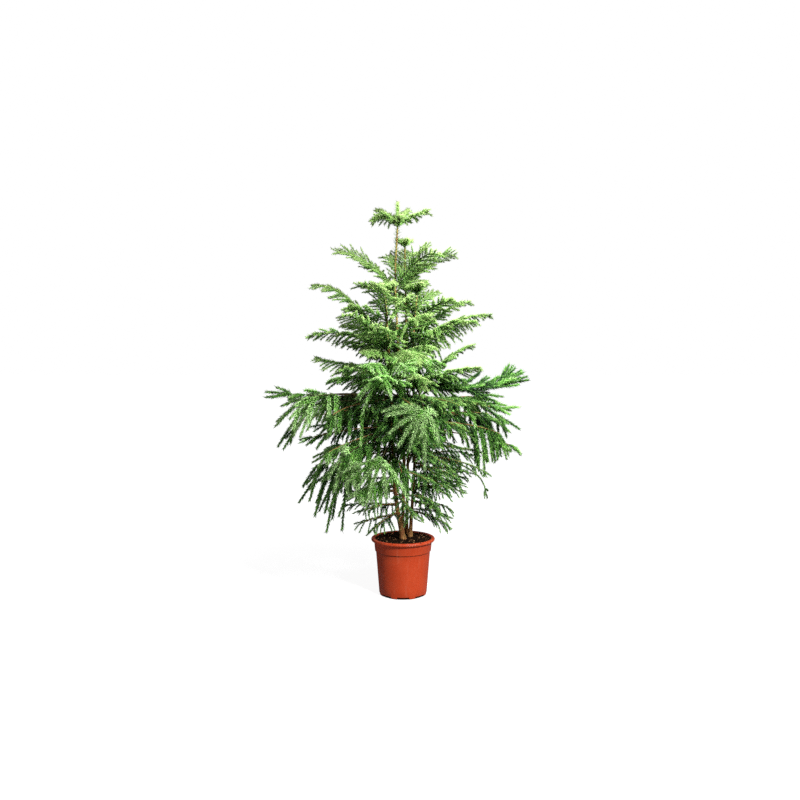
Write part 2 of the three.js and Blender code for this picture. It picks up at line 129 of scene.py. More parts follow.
# Stems
STEM_NAMES = ("tall", "back", "right", "front")
BARK_SIDES = 14
BARK_CUTS = 5
LEVEL_STEP = 1e-5
RIDGE_TURNS = 2.2
RIDGE_STRETCH = 60
RIDGE_ROUGHNESS = 0.9
SCALE_TURNS = 5
SCALE_STRETCH = 240
SCALE_SHARE = 0.5
YOUNG_BARK_HEIGHTS = (0.66, 0.98)

# Styles of fronds. age goes from 0, a young feather, to 1, an old bough with ropes of needles; spray is
# the longest side twig, and hang how far the twigs bend down, or up where negative. A style may also set
# the turn of the frond about its rib (roll), the opening of its first and last twigs in degrees (spread),
# the bare share of its rib (first), the length of its last twigs as a share of the longest (tip), how much
# less they hang (lift), the share of a twig's length where it bends (knee), the powers that bring the
# longest twigs nearer the root (peak) and narrow the frond beyond them (taper), the distance between twigs
# (gap), a lighter or darker tone, and ropes at the tip, each with its azimuth, reach, rise and fall. The
# tone is partly painted light: lighter on fronds in front, darker as painted shade on fronds inside and
# behind.
PLUME = {"peak": 0.55, "taper": 1.4, "tip": 0.26}
FEATHER = {"age": 0, "spray": 0.055, "hang": 0.45, "gap": 0.019, "tone": -1.1}
ROPES = {"age": 1, "spray": 0.145, "hang": 0.75}
CURTAIN = ROPES | {"hang": 0.92, "knee": 0.24, "lift": 0.3}
CLUMP = ROPES | {"spray": 0.120, "hang": 0.8, "knee": 0.3, "spread": (75, 35), "first": 0.6, "tip": 0.9}
PRONGS = ROPES | {
    "spray": 0.080, "hang": 0.3, "first": 0.64, "tip": 0.7,
    "ropes": [(172, 0.085, 5, 2), (186, 0.080, -6, -8), (160, 0.055, 25, 15)],
}
FAN = ROPES | {
    "spray": 0.085, "hang": -0.2, "roll": 60, "spread": (12, 12), "first": 0.15, "tip": 0.85, "lift": 0,
    "ropes": [(20, 0.075, 50, 62), (10, 0.080, 38, 46), (0, 0.088, 28, 36), (12, 0.094, 22, 26),
              (350, 0.098, 15, 18), (8, 0.106, 8, 10), (25, 0.084, 42, 50), (345, 0.088, 25, 30),
              (0, 0.062, 60, 66), (30, 0.094, 12, 14)],
}
# HAND and PALM: bright ropes at the front, their high tone partly painted light
HAND = ROPES | {
    "age": 1.3, "spray": 0.060, "first": 0.92, "tone": 3.0,
    "ropes": [(188, 0.130, 24, -22), (196, 0.112, 4, -14), (204, 0.125, -18, -38),
              (210, 0.130, -38, -58), (222, 0.125, -52, -70), (250, 0.075, -55, -75),
              (330, 0.100, -48, -75), (270, 0.170, -70, -86)],
}
PALM = HAND | {
    "age": 1.1, "spray": 0.050, "tone": 2.6,
    "ropes": [(330, 0.140, -40, -62), (290, 0.110, -62, -80), (225, 0.130, -55, -72),
              (205, 0.135, -38, -58), (195, 0.132, -20, -45), (190, 0.122, -5, -28)],
}
SMALL_PALM = PALM | {
    "ropes": [(300, 0.110, -58, -75), (270, 0.125, -75, -86), (200, 0.100, -40, -65),
              (215, 0.120, -58, -78), (335, 0.085, -45, -70)],
}
# INNER: dark fronds inside the crown, whose low tone is painted shade
INNER = {"age": 0.5, "spray": 0.090, "hang": 0.6, "gap": 0.014, "tone": -1.6}

# Fronds, whorl by whorl: stem, height, style, and the fronds of the whorl. Each frond is azimuth, reach,
# rise and fall: degrees anticlockwise from +X seen from above, length of the rib, and the rib's slope at
# its root and its tip; it may have a style of its own on top of the whorl's.
WHORLS = [
    ("tall", 1.000, {"age": 0, "spray": 0.056, "hang": -0.1},
     [(2, 0.242, 47, -6), (72, 0.250, 52, -4), (180, 0.234, 47, -6), (318, 0.200, 44, -6)]),
    ("tall", 0.790, PLUME | {"age": 0.2, "spray": 0.078, "hang": 0.4},
     [(192, 0.325, 27, -28), (282, 0.250, 6, -40, {"tone": 0.8}), (124, 0.270, 40, -6),
      (332, 0.295, 30, -12)]),
    ("tall", 0.700, PLUME | {"age": 0.24, "spray": 0.086, "hang": 0.4},
     [(176, 0.285, 20, 5, {"tone": -0.3}), (218, 0.240, 16, -8), (286, 0.250, 8, -12, {"tone": 0.6})]),
    ("back", 0.935, {"age": 0, "spray": 0.056, "hang": 0.1},
     [(76, 0.250, 46, -6), (136, 0.200, 40, -6), (202, 0.190, 36, -10)]),
    ("back", 0.770, PLUME | {"age": 0.2, "spray": 0.078, "hang": 0.4},
     [(355, 0.345, 45, -12), (48, 0.310, 40, -8), (102, 0.320, 38, -10), (154, 0.280, 36, -10)]),
    ("back", 0.600, ROPES | {"tone": -1.0},
     [(38, 0.350, 14, -16), (90, 0.360, 12, -20), (142, 0.350, 10, -16)]),
    ("right", 0.905, {"age": 0, "spray": 0.055, "hang": 0.1},
     [(318, 0.185, 32, -16)]),
    ("right", 0.840, PLUME | {"age": 0.1, "spray": 0.066, "hang": 0.2},
     [(5, 0.238, 48, -2), (45, 0.230, 55, -4)]),
    ("right", 0.680, {"age": 0.24, "spray": 0.075, "hang": 0.2},
     [(8, 0.282, -2, 10, FAN | {"gap": 0.012, "tone": -2.2}), (26, 0.262, 40, 12, PLUME),
      (336, 0.232, 20, 0, PLUME), (276, 0.290, -9, -28, HAND)]),
    ("right", 0.575,
     CURTAIN | {"spray": 0.150, "spread": (45, 22), "first": 0.6, "gap": 0.015, "tone": -1.2},
     [(354, 0.285, -2, -25), (318, 0.220, 0, -25, FEATHER | {"spray": 0.080}), (24, 0.330, 5, -20)]),
    ("right", 0.455, FEATHER,
     [(20, 0.210, 8, -28), (344, 0.250, -4, -35, {"hang": 0.9, "first": 0.4}), (304, 0.180, 0, -30)]),
    ("right", 0.300, FEATHER,
     [(4, 0.135, 0, -45), (322, 0.125, -5, -45)]),
    ("front", 0.900, {"age": 0, "spray": 0.055, "hang": 0.1},
     [(198, 0.135, 30, -20), (262, 0.150, 54, 10)]),
    ("front", 0.815, PLUME | {"age": 0.2, "spray": 0.074, "hang": 0.3},
     [(178, 0.345, 58, -4), (222, 0.215, 40, -5), (316, 0.210, 42, -12)]),
    ("front", 0.650, ROPES,
     [(174, 0.320, 2, 3, PRONGS),
      (206, 0.310, 8, -22, CLUMP | {"spray": 0.150, "gap": 0.016, "tone": 1.0}),
      (258, 0.240, 26, -12, {"age": 0.4, "spray": 0.100, "hang": 0.5}),
      (296, 0.215, -8, -30, CURTAIN | {"tone": -1.4})]),
    ("front", 0.545, CURTAIN | {"spray": 0.120},
     [(235, 0.230, -8, -25, {"tone": 0.4}),
      (212, 0.240, -10, -28, {"age": 0.5, "spray": 0.080, "hang": 0.5})]),
    ("front", 0.440,
     CURTAIN | {"spray": 0.190, "hang": 0.65, "knee": 0.12, "first": 0.4, "gap": 0.014, "tone": -0.9},
     [(183, 0.235, 2, -4)]),
    ("front", 0.385, {"age": 0.3, "spray": 0.065, "hang": 0.9, "knee": 0.3, "gap": 0.012, "tone": 1.2},
     [(238, 0.210, 4, -28), (186, 0.150, 2, -25, FEATHER)]),
]

# Smaller fronds that fill the crown between those, in the same form
FILLERS = [
    ("back", 1.040, {"age": 0, "spray": 0.045, "hang": 0},
     [(10, 0.130, 70, 35), (150, 0.110, 60, 10)]),
    ("tall", 0.995, {"age": 0, "spray": 0.055, "hang": -0.1},
     [(35, 0.170, 52, -4), (150, 0.150, 52, -4)]),
    ("back", 0.930, {"age": 0, "spray": 0.055, "hang": 0.1},
     [(30, 0.150, 46, -5), (108, 0.170, 44, -5)]),
    ("right", 0.900, {"age": 0, "spray": 0.050, "hang": 0.1},
     [(60, 0.120, 60, 20), (180, 0.090, 55, 10), (245, 0.100, 50, 5)]),
    ("front", 0.895, {"age": 0, "spray": 0.050, "hang": 0.1},
     [(330, 0.110, 58, 20), (110, 0.130, 48, 0)]),
    ("right", 0.835, PLUME | {"age": 0.1, "spray": 0.060, "hang": 0.2},
     [(100, 0.150, 48, -5), (295, 0.150, 42, -8)]),
    ("front", 0.805, PLUME | {"age": 0.1, "spray": 0.065, "hang": 0.3},
     [(150, 0.170, 42, -6), (265, 0.170, 36, -10)]),
    ("tall", 0.775, PLUME | {"age": 0.2, "spray": 0.070, "hang": 0.4},
     [(158, 0.200, 28, -14), (240, 0.210, 14, -22), (306, 0.180, 20, -18)]),
    ("back", 0.755, PLUME | {"age": 0.2, "spray": 0.070, "hang": 0.4},
     [(76, 0.250, 36, -10), (128, 0.250, 34, -10), (195, 0.200, 26, -12)]),
    ("right", 0.755, PLUME | {"age": 0.3, "spray": 0.075, "hang": 0.4},
     [(255, 0.170, 10, -20), (285, 0.200, 8, -22)]),
    ("front", 0.745, PLUME | {"age": 0.3, "spray": 0.080, "hang": 0.4},
     [(250, 0.200, 12, -18), (285, 0.220, 8, -22, {"tone": 0.6}), (320, 0.200, 12, -18)]),
    ("tall", 0.685, {"age": 0.4, "spray": 0.080, "hang": 0.5, "tone": -0.6},
     [(40, 0.210, 18, -10), (110, 0.220, 18, -10), (196, 0.220, 10, -10), (250, 0.220, 10, -16)]),
    ("back", 0.680, FEATHER | {"spray": 0.090},
     [(215, 0.180, 12, -10), (250, 0.180, 12, -10), (290, 0.180, 12, -10), (325, 0.200, 12, -10)]),
    ("right", 0.655, ROPES | {"spray": 0.100, "hang": 0.3, "first": 0.5, "gap": 0.026, "tone": -1.2},
     [(356, 0.290, -6, -15), (60, 0.260, 16, -12)]),
    ("right", 0.645, FEATHER | {"spray": 0.075},
     [(340, 0.220, 2, -14), (315, 0.200, 0, -18), (292, 0.160, 0, -24)]),
    ("front", 0.640, CURTAIN | {"spray": 0.130, "first": 0.45},
     [(192, 0.265, 4, -18, CLUMP | {"tone": 1.1}), (222, 0.240, 0, -30, {"gap": 0.03, "tone": -1.2}),
      (150, 0.250, 4, -10, {"tone": -1.0})]),
    ("tall", 0.640, FEATHER | {"spray": 0.085},
     [(268, 0.170, 4, -14), (235, 0.190, 4, -14), (305, 0.180, 6, -14)]),
    ("front", 0.620,
     CURTAIN | {"first": 0.86, "spray": 0.150, "knee": 0.15, "spread": (30, 15), "tone": -0.9},
     [(166, 0.360, -2, -35)]),
    ("back", 0.585, ROPES | {"spray": 0.120, "tone": -1.2},
     [(14, 0.260, 4, -24), (64, 0.280, 6, -22), (116, 0.280, 6, -22), (168, 0.260, 4, -22)]),
    ("front", 0.560, {"age": 0.6, "spray": 0.090, "hang": 0.6, "tone": -1.0},
     [(190, 0.260, -2, -20, {"gap": 0.022, "tone": -1.4}), (160, 0.240, 2, -12, {"gap": 0.022}),
      (285, 0.150, -4, -30), (320, 0.170, 0, -26)]),
    ("right", 0.555, ROPES | {"spray": 0.060, "hang": 0.7, "first": 0.72, "tip": 0.9},
     [(2, 0.335, -10, -16)]),
    ("back", 0.540, FEATHER | {"spray": 0.090},
     [(210, 0.180, 6, -16), (240, 0.160, 6, -16), (300, 0.160, 6, -16), (335, 0.200, 6, -16)]),
    ("right", 0.520, FEATHER,
     [(330, 0.150, -4, -22), (300, 0.130, -6, -28), (270, 0.120, -8, -34)]),
    ("front", 0.520, PALM,
     [(262, 0.215, -6, -22), (232, 0.215, -4, -14, SMALL_PALM)]),
    ("front", 0.480, ROPES | {"spray": 0.120, "tone": 0.2},
     [(205, 0.200, -4, -28), (160, 0.200, 2, -14)]),
    ("front", 0.470, ROPES | {"spray": 0.100, "tone": -0.2},
     [(285, 0.120, -10, -60), (262, 0.110, -10, -60)]),
    ("right", 0.462, FEATHER | {"first": 0.95},
     [(346, 0.330, -6, -88)]),
    ("back", 0.450, FEATHER | {"spray": 0.080, "hang": 0.5},
     [(30, 0.200, 2, -28), (75, 0.220, 2, -26), (115, 0.220, 2, -26), (155, 0.200, 2, -26)]),
    ("right", 0.490, FEATHER,
     [(356, 0.220, 0, -22), (285, 0.140, -8, -34)]),
    ("front", 0.420, FEATHER,
     [(318, 0.150, -2, -30), (200, 0.160, 0, -26)]),
    ("right", 0.385, FEATHER,
     [(340, 0.170, 2, -30), (10, 0.170, 4, -26), (310, 0.140, -2, -34)]),
    ("right", 0.415, FEATHER,
     [(0, 0.180, 2, -24), (330, 0.160, -2, -30), (28, 0.160, 4, -24), (300, 0.130, -4, -34)]),
    ("right", 0.350, FEATHER,
     [(350, 0.165, 6, -32), (20, 0.150, 6, -30), (318, 0.130, 2, -34), (60, 0.140, 8, -26)]),
    ("front", 0.345, FEATHER,
     [(172, 0.140, 6, -22), (205, 0.150, 4, -26)]),
    ("back", 0.330, FEATHER,
     [(60, 0.140, 4, -30), (120, 0.140, 4, -30)]),
    ("front", 0.300, FEATHER,
     [(184, 0.150, 8, -15), (226, 0.140, 6, -22)]),
    ("front", 0.270, FEATHER,
     [(195, 0.130, -5, -30), (230, 0.120, -10, -40)]),
    ("right", 0.270, FEATHER,
     [(345, 0.130, -10, -45), (15, 0.130, -5, -40)]),
    ("right", 0.335, FEATHER,
     [(302, 0.120, -5, -35)]),
    ("front", 0.330, FEATHER,
     [(290, 0.120, 2, -35), (335, 0.130, 4, -30)]),
    ("tall", 0.290, FEATHER,
     [(285, 0.110, 0, -35)]),
    ("tall", 0.610, INNER,
     [(205, 0.130, 5, -20), (255, 0.140, 0, -30), (300, 0.140, 0, -30), (345, 0.130, 5, -20)]),
    ("tall", 0.530, INNER,
     [(230, 0.120, 0, -30), (280, 0.130, -5, -40), (325, 0.120, 0, -30)]),
    ("right", 0.600, INNER,
     [(250, 0.120, -5, -40), (310, 0.120, 0, -30)]),
    ("front", 0.590, INNER,
     [(270, 0.110, -10, -45), (330, 0.120, -5, -30)]),
]
FROND_LETTERS = "abcde"

# Frond proportions; of two values, the first is for young fronds and the second for old ones
RIB_SIDES = 6
RIB_STEPS = 20
RIB_ROOT_RADIUS = 0.0026
RIB_TIP_RADIUS = 0.0011
RIB_KNEE = 0.7
ROPE_KNEE = 0.5
RIB_RELIEF = 0.12
RIB_SINK = 0.004
ROOT_GAP = 0.00045
WHORL_STAGGER = 0.006
FIRST_TWIG = (0.08, 0.3)
LAST_TWIG = 0.985
SPREAD_ROOT = 62
SPREAD_TIP = (40, 24)
SPRAY_KNEE = (0.4, 0.42)
SPRAY_DROP = 0.35
TIP_TWIG = (0.45, 0.5)
PEAK_POWER = (0.8, 1.2)
TWIG_TOSS = (0.1, 0.2)
CLUSTER_TOSS = (0.06, 0.32)
SHARE_JITTER = 0.35
TIP_LIFT = 0.8
TIP_LIFT_POWER = 4
LENGTH_JITTER = 0.24
DROOP_JITTER = 0.25
CLUSTER = 5
CLUSTER_LENGTH = 0.2
CLUSTER_DROOP = 0.4
SPREAD_JITTER = 8
ROLL_LEAST = 12
ROLL_MOST = 32
LEAST_CHANGE = 1e-7
SCATTER_STRIDE = 12.9898
SCATTER_SCALE = 43758.5453

# Steps between the seeds of neighbouring twigs, or clusters of twigs; the first serves two draws
PAIR_STRIDE = 2
TONE_STRIDE = 3
DROOP_STRIDE = 5
TOSS_STRIDE = 7
SHARE_STRIDE = 17
CLUSTER_DROOP_STRIDE = 11
CLUSTER_LENGTH_STRIDE = 13
CLUSTER_TOSS_STRIDE = 19

# Tufts: stem, length of the leader, and short shoots round its root in the form of fronds
TUFTS = [
    ("tall", 0.078,
     [(186, 0.110, 43, -42), (158, 0.095, 52, 15), (55, 0.085, 55, 25), (5, 0.110, 38, 5),
      (285, 0.055, 45, 0), (100, 0.090, 45, -5)]),
    ("back", 0.022,
     [(20, 0.032, 55, 10), (110, 0.035, 55, 10), (200, 0.035, 55, 10), (290, 0.030, 55, 10)]),
    ("right", 0.026,
     [(0, 0.050, 65, 25), (72, 0.065, 55, 0), (144, 0.042, 65, 25), (216, 0.055, 50, -20),
      (288, 0.060, 55, -5)]),
    ("front", 0.030,
     [(36, 0.050, 68, 30), (108, 0.065, 52, -10), (180, 0.070, 48, -30), (252, 0.080, 45, -35),
      (324, 0.050, 60, 0)]),
]
TUFT_KNEE = 0.6
TUFT_SEAT = 0.005
TUFT_SPRAY = 0.28
TUFT_STYLE = {"age": 0.24, "hang": 0.2, "gap": 0.010, "first": 0.25}
TUFT_RIB_RADIUS = 0.0012
LEADER_TIP_RADIUS = 0.0012

# Twigs and needles
TWIG_SIDES = 3
TWIG_STEPS = 4
TWIG_ROOT_YOUNG = 0.0009
TWIG_ROOT_OLD = 0.0014
TWIG_TIP_RADIUS = 0.0006
GOLDEN_ANGLE = math.radians(137.508)
NEEDLE_FACES = np.array([(0, 2, 1), (1, 2, 3), (0, 1, 3), (0, 3, 2)])
NEEDLE_FIRST = 0.06
LEAST_NEEDLES = 4
NEEDLED_RIB_AGE = 0.5
NEEDLE_LEAN = (42, 27)
STEM_NEEDLE_LEAN = (72, 60)
SHOOT_NEEDLE_LEAN = (62, 48)
NEEDLE_LEAN_JITTER = 8
NEEDLE_CURL = 0.16
NEEDLE_SINK = 0.5
NEEDLE_FLATNESS = 0.7
NEEDLE_BELLY = 0.4
NEEDLE_SHRINK = 0.15
NEEDLE_LENGTH_JITTER = 0.22
NEEDLE_LENGTH_LIMIT = 2
TONE_ALONG = (-1.3, 1.1)
NEEDLE_TONE_JITTER = 0.3
# Painted light on needles: lighter on a twig's upper side and darker underneath, and lighter the further a
# needle stands out of its rope
TOPLIGHT_SHADE_TONE = 1.2
LONG_NEEDLE_LIGHT_TONE = 0.7
TONES = ("deep", "shade", "leaf", "fresh", "bright", "pale", "lush", "vivid", "frost")
YOUNG_TONES = (0, 1, 2, 3, 4, 5)
OLD_TONES = (0, 1, 2, 6, 7, 8)
OLD_AGE = 0.25
YOUNG_LEAST = 2.5
TONE_HEIGHTS = (0.25, 0.5, 0.65, 0.8, 0.95, 1.1)
TONE_LEVELS = (2.0, 2.3, 2.7, 3.3, 3.9, 4.4)
# Side twigs darker near the stem and lighter towards the frond's tip: partly younger growth outward,
# partly painted shade inside the crown
TONE_OUTWARD = 2.0
TONE_JITTER = (0.8, 1.6)
ROPE_TONE = 1.0

# Needles that stand on the upper stems
STEM_NEEDLES_ABOVE = 0.74
STEM_NEEDLES_PER_METRE = 800
STEM_NEEDLE_LENGTH = 0.016
STEM_NEEDLE_TONE = 1.7
LEADER_NEEDLE_LENGTH = 0.0125

# Finishes
BLOTCH_DETAIL = 6
BLOTCH_ROUGHNESS = 0.62
BLOTCH_SOFTNESS = 0.12
SPECK_EDGE = 0.1
SCAR_STRENGTH = 0.35
RIB_SCAR_STRENGTH = 0.5
NEAR_LIP = 2.2

# Camera, fitted to the photograph's view
CAMERA_PLACE = (-0.010, -2.75, 0.82)
CAMERA_DOWN = 3.69
CAMERA_LENS = 37.9
FLOOR_SIZE = 40
FLOOR_NEAR = 0.3
FLOOR_FAR = 1.8
FLOOR_GLOW = 0.9
FOOT_SHADE = 0.01

# Lights: the side of each square, and its place
LIGHTS = {
    "key": (0.7, (1.7, -2.6, 2.6)),
    "fill": (2.2, (-2.4, -2.2, 1.4)),
    "rim": (1.6, (-1.2, 2.4, 2.6)),
}


def length(name, description, default):
    """Property for a size in metres."""
    return FloatProperty(
        name=name, description=description, default=default, min=0, precision=4, unit="LENGTH"
    )


def colour(name, description, default):
    """Property for a base colour."""
    return FloatVectorProperty(
        name=name, description=description, default=default, size=3, min=0, max=1, subtype="COLOR"
    )


def share(name, description, default):
    """Property for a share from 0 to 1."""
    return FloatProperty(
        name=name, description=description, default=default, min=0, max=1, subtype="FACTOR"
    )


def count_of(name, description, default, most):
    """Property for a number of small things."""
    return IntProperty(name=name, description=description, default=default, min=0, max=most)


def power(name, description, default):
    """Property for the power of a light."""
    return FloatProperty(name=name, description=description, default=default, min=0, unit="POWER")


class PinePotSettings(bpy.types.PropertyGroup):
    """Nursery pot and potting soil"""

    plastic: colour("Plastic", "Colour of the pot's plastic", (0.435, 0.0425, 0.0092))
    faded: colour("Faded plastic", "Colour of the plastic where it is sun-bleached", (0.47, 0.052, 0.0135))
    dust: colour("Dust", "Colour of dry dust and water marks on the pot", (0.56, 0.22, 0.13))
    dusty: share("Dustiness", "How much dust lies on the pot", 0.18)
    worn: colour("Worn plastic", "Colour of the scuffed spots on the lip", (0.66, 0.26, 0.17))
    # grime_and_shade: dark soil crumbs on the lip, and painted shade under the collar's step and inside
    # the slots round the foot
    grime_and_shade: colour("Grime", "Colour of the dirt under the collar and in the slots", (0.02, 0.006, 0.003))
    peat: colour("Peat", "Colour of the damp soil", (0.006, 0.003, 0.0016))
    dry_peat: colour("Dry peat", "Colour of the dry crumbs", (0.024, 0.011, 0.0045))
    chips: colour("Chips", "Colour of the bark chips", (0.46, 0.23, 0.105))
    crumbs: count_of("Crumbs", "Crumbs of soil on top", 1600, 6000)


class PineBarkSettings(bpy.types.PropertyGroup):
    """Stems and boughs"""

    bark: colour("Bark", "Colour of the old bark", (0.245, 0.095, 0.032))
    cracks: colour("Cracks", "Colour in the cracks of the bark", (0.045, 0.016, 0.005))
    young_bark: colour("Young bark", "Colour of the stems near their tips", (0.42, 0.29, 0.09))
    old_rib: colour("Old boughs", "Colour of the bare lower boughs", (0.36, 0.215, 0.07))
    # young_rib: green of the upper boughs, darkened as painted shade under their fronds
    young_rib: colour("Young boughs", "Colour of the upper boughs", (0.055, 0.075, 0.022))
    relief: length("Bark relief", "Depth of the bark's ridges", 0.0007)


class PineFoliageSettings(bpy.types.PropertyGroup):
    """Twigs and needles"""

    young_gap: length("Young twig gap", "Distance between the twigs on one side of a young frond", 0.0115)
    old_gap: length("Old twig gap", "Distance between the twigs on one side of an old frond", 0.019)
    young_needle: length("Young needle", "Length of the needles on young twigs", 0.0086)
    old_needle: length("Old needle", "Length of the needles on old twigs", 0.0145)
    young_width: length("Young needle width", "Width of a young needle at its middle", 0.0031)
    old_width: length("Old needle width", "Width of an old needle at its middle", 0.0042)
    young_count: count_of("Young needles", "Needles on a metre of young twig", 820, 4000)
    old_count: count_of("Old needles", "Needles on a metre of old twig", 1150, 4000)
    leader_count: count_of("Leader needles", "Needles on a metre of the topmost shoots", 4200, 8000)
    deep: colour("Deep green", "Oldest needles", (0.023, 0.078, 0.018))
    shade: colour("Shade green", "Old needles", (0.064, 0.19, 0.041))
    leaf: colour("Leaf green", "Needles of the middle fronds", (0.148, 0.36, 0.07))
    fresh: colour("Fresh green", "Needles of the upper fronds", (0.268, 0.535, 0.122))
    bright: colour("Bright green", "Young needles", (0.395, 0.715, 0.17))
    pale: colour("Pale green", "Youngest needles at the tips", (0.575, 0.82, 0.285))
    lush: colour("Lush green", "Outer needles of the old fronds", (0.19, 0.515, 0.08))
    vivid: colour("Vivid green", "Young needles at the tips of the old fronds", (0.36, 0.765, 0.15))
    # frost: palest green of the old fronds, partly a whitish bloom on the needles, partly painted
    # highlight where their tone runs highest
    frost: colour("Frosted green", "Palest needles of the old fronds", (0.58, 0.9, 0.36))


class PineStageSettings(bpy.types.PropertyGroup):
    """Floor, lights and backdrop"""

    floor: colour("Floor", "Colour of the floor", (0.3, 0.3, 0.3))
    key: power("Key light", "Power of the main light", 245)
    fill: power("Fill light", "Power of the softer light", 5)
    rim: power("Rim light", "Power of the light behind", 14)
    sky: share("Sky", "Strength of the even light all round", 0.12)


class Limbs(NamedTuple):
    """Curved limbs, a row for each: root, knee and tip of its bend, and a direction across it."""

    root: np.ndarray
    knee: np.ndarray
    tip: np.ndarray
    across: np.ndarray
    thick: np.ndarray
    thin: np.ndarray
    age: np.ndarray
    tone: np.ndarray
    node: np.ndarray


# Small tools


def unit(vectors):
    return vectors / np.linalg.norm(vectors, axis=-1, keepdims=True)


def lerp(low, high, amount):
    return low + (high - low) * amount


def heading(azimuth, slope):
    """Unit vector with that azimuth and slope, in degrees."""
    turn, lift = math.radians(azimuth), math.radians(slope)
    return np.array([math.cos(turn) * math.cos(lift), math.sin(turn) * math.cos(lift), math.sin(lift)])


def jitter(seed):
    """Repeatable numbers from -1 to 1, one for each seed."""
    wave = np.sin(np.asarray(seed, float) * SCATTER_STRIDE) * SCATTER_SCALE
    return 2 * (wave - np.floor(wave)) - 1


def deselect_all():
    for item in bpy.context.selected_objects:
        item.select_set(False)


def select_only(piece):
    deselect_all()
    piece.select_set(True)
    bpy.context.view_layer.objects.active = piece


def apply_modifiers(piece):
    select_only(piece)
    for modifier in list(piece.modifiers):
        bpy.ops.object.modifier_apply(modifier=modifier.name)


def smooth_by_angle(piece, degrees):
    select_only(piece)
    bpy.ops.object.shade_smooth_by_angle(angle=math.radians(degrees))


def settle(piece, material, nodes):
    """Gives a finished piece its finish, ties it to the body, and hides the solids that it stands for."""
    piece.data.materials.clear()
    piece.data.materials.append(material)
    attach(piece, BODY)
    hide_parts(*nodes)
    return piece


def ringed_piece(name, rings, sides):
    """Closed round piece: a disc that is extruded along rings of (radius, centre)."""
    deselect_all()
    radius, centre = rings[0]
    bpy.ops.mesh.primitive_circle_add(vertices=sides, radius=radius, fill_type="NGON", location=centre)
    bpy.ops.object.transform_apply(location=True, rotation=True, scale=True)
    piece = bpy.context.object
    piece.name = piece.data.name = name
    bpy.ops.object.mode_set(mode="EDIT")
    bpy.ops.mesh.select_all(action="SELECT")
    for next_radius, next_centre in rings[1:]:
        step = tuple(np.subtract(next_centre, centre))
        bpy.ops.mesh.extrude_region_move(TRANSFORM_OT_translate={"value": step})
        growth = next_radius / radius
        bpy.ops.transform.resize(value=(growth, growth, 1), center_override=tuple(next_centre))
        radius, centre = next_radius, next_centre
    bpy.ops.mesh.select_all(action="SELECT")
    bpy.ops.mesh.normals_make_consistent(inside=False)
    bpy.ops.mesh.select_all(action="DESELECT")
    bpy.ops.object.mode_set(mode="OBJECT")
    return piece


def lathe_piece(name, outline):
    """Piece that is round about the pot's axis, along an outline of (radius, height)."""
    return ringed_piece(name, [(radius, (0, 0, height)) for radius, height in outline], POT_SIDES)


def array_piece(name, corners, triangles):
    """Mesh of many small things, from arrays of corners and triangles."""
    mesh = bpy.data.meshes.new(name)
    mesh.vertices.add(len(corners))
    mesh.vertices.foreach_set("co", corners.astype(np.float32).ravel())
    mesh.loops.add(triangles.size)
    mesh.loops.foreach_set("vertex_index", triangles.astype(np.int32).ravel())
    mesh.polygons.add(len(triangles))
    mesh.polygons.foreach_set("loop_start", np.arange(0, triangles.size, 3, dtype=np.int32))
    mesh.update(calc_edges=True)
    piece = bpy.data.objects.new(name, mesh)
    bpy.context.scene.collection.objects.link(piece)
    return piece


def repeated_piece(name, corners, template):
    """Mesh of like things: corners is (things, corners of each, 3), template the triangles of one."""
    things, each = corners.shape[:2]
    triangles = template[None] + np.arange(things)[:, None, None] * each
    return array_piece(name, corners.reshape(-1, 3), triangles.reshape(-1, 3))


# Shader tools


def feed(tree, socket, value):
    """Links an output to a socket, or sets the socket to a plain value."""
    if isinstance(value, bpy.types.NodeSocket):
        tree.links.new(value, socket)
    else:
        socket.default_value = value


def rgba(values):
    return (*values, 1.0)


def mixed(tree, mask, low, high):
    """Colour that goes from low to high with a mask."""
    node = tree.nodes.new("ShaderNodeMix")
    node.data_type = "RGBA"
    feed(tree, node.inputs[0], mask)
    feed(tree, node.inputs[6], low)
    feed(tree, node.inputs[7], high)
    return node.outputs[2]


def ranged(tree, value, low, high, to_low=0.0, to_high=1.0):
    """Value stretched from one range to another, and held at its ends."""
    node = tree.nodes.new("ShaderNodeMapRange")
    node.interpolation_type = "SMOOTHSTEP"
    sockets = ("Value", "From Min", "From Max", "To Min", "To Max")
    for socket, number in zip(sockets, (value, low, high, to_low, to_high)):
        feed(tree, node.inputs[socket], number)
    return node.outputs["Result"]


def fading(tree, value, low, high):
    """Mask that goes from 1 to 0 over a range."""
    return ranged(tree, value, low, high, to_low=1.0, to_high=0.0)


def computed(tree, operation, first, second):
    node = tree.nodes.new("ShaderNodeMath")
    node.operation = operation
    feed(tree, node.inputs[0], first)
    feed(tree, node.inputs[1], second)
    return node.outputs["Value"]


def product(tree, first, second):
    return computed(tree, "MULTIPLY", first, second)


def height_of(tree, point):
    axes = tree.nodes.new("ShaderNodeSeparateXYZ")
    tree.links.new(point, axes.inputs["Vector"])
    return axes.outputs["Z"]


def distance_of(tree, point):
    """Distance of a point from the origin."""
    node = tree.nodes.new("ShaderNodeVectorMath")
    node.operation = "LENGTH"
    tree.links.new(point, node.inputs[0])
    return node.outputs["Value"]


def object_point(tree, stretch=(1, 1, 1)):
    """Object coordinates, stretched along each axis."""
    place = tree.nodes.new("ShaderNodeTexCoord")
    mapping = tree.nodes.new("ShaderNodeMapping")
    mapping.inputs["Scale"].default_value = stretch
    tree.links.new(place.outputs["Object"], mapping.inputs["Vector"])
    return mapping.outputs["Vector"]


def new_group(name, inputs, outputs):
    """Empty shader group with named sockets: returns its tree, its input node and its output node."""
    tree = bpy.data.node_groups.new(name, "ShaderNodeTree")
    for socket, kind in inputs:
        tree.interface.new_socket(socket, in_out="INPUT", socket_type=kind)
    for socket in outputs:
        tree.interface.new_socket(socket, in_out="OUTPUT", socket_type="NodeSocketFloat")
    return tree, tree.nodes.new("NodeGroupInput"), tree.nodes.new("NodeGroupOutput")


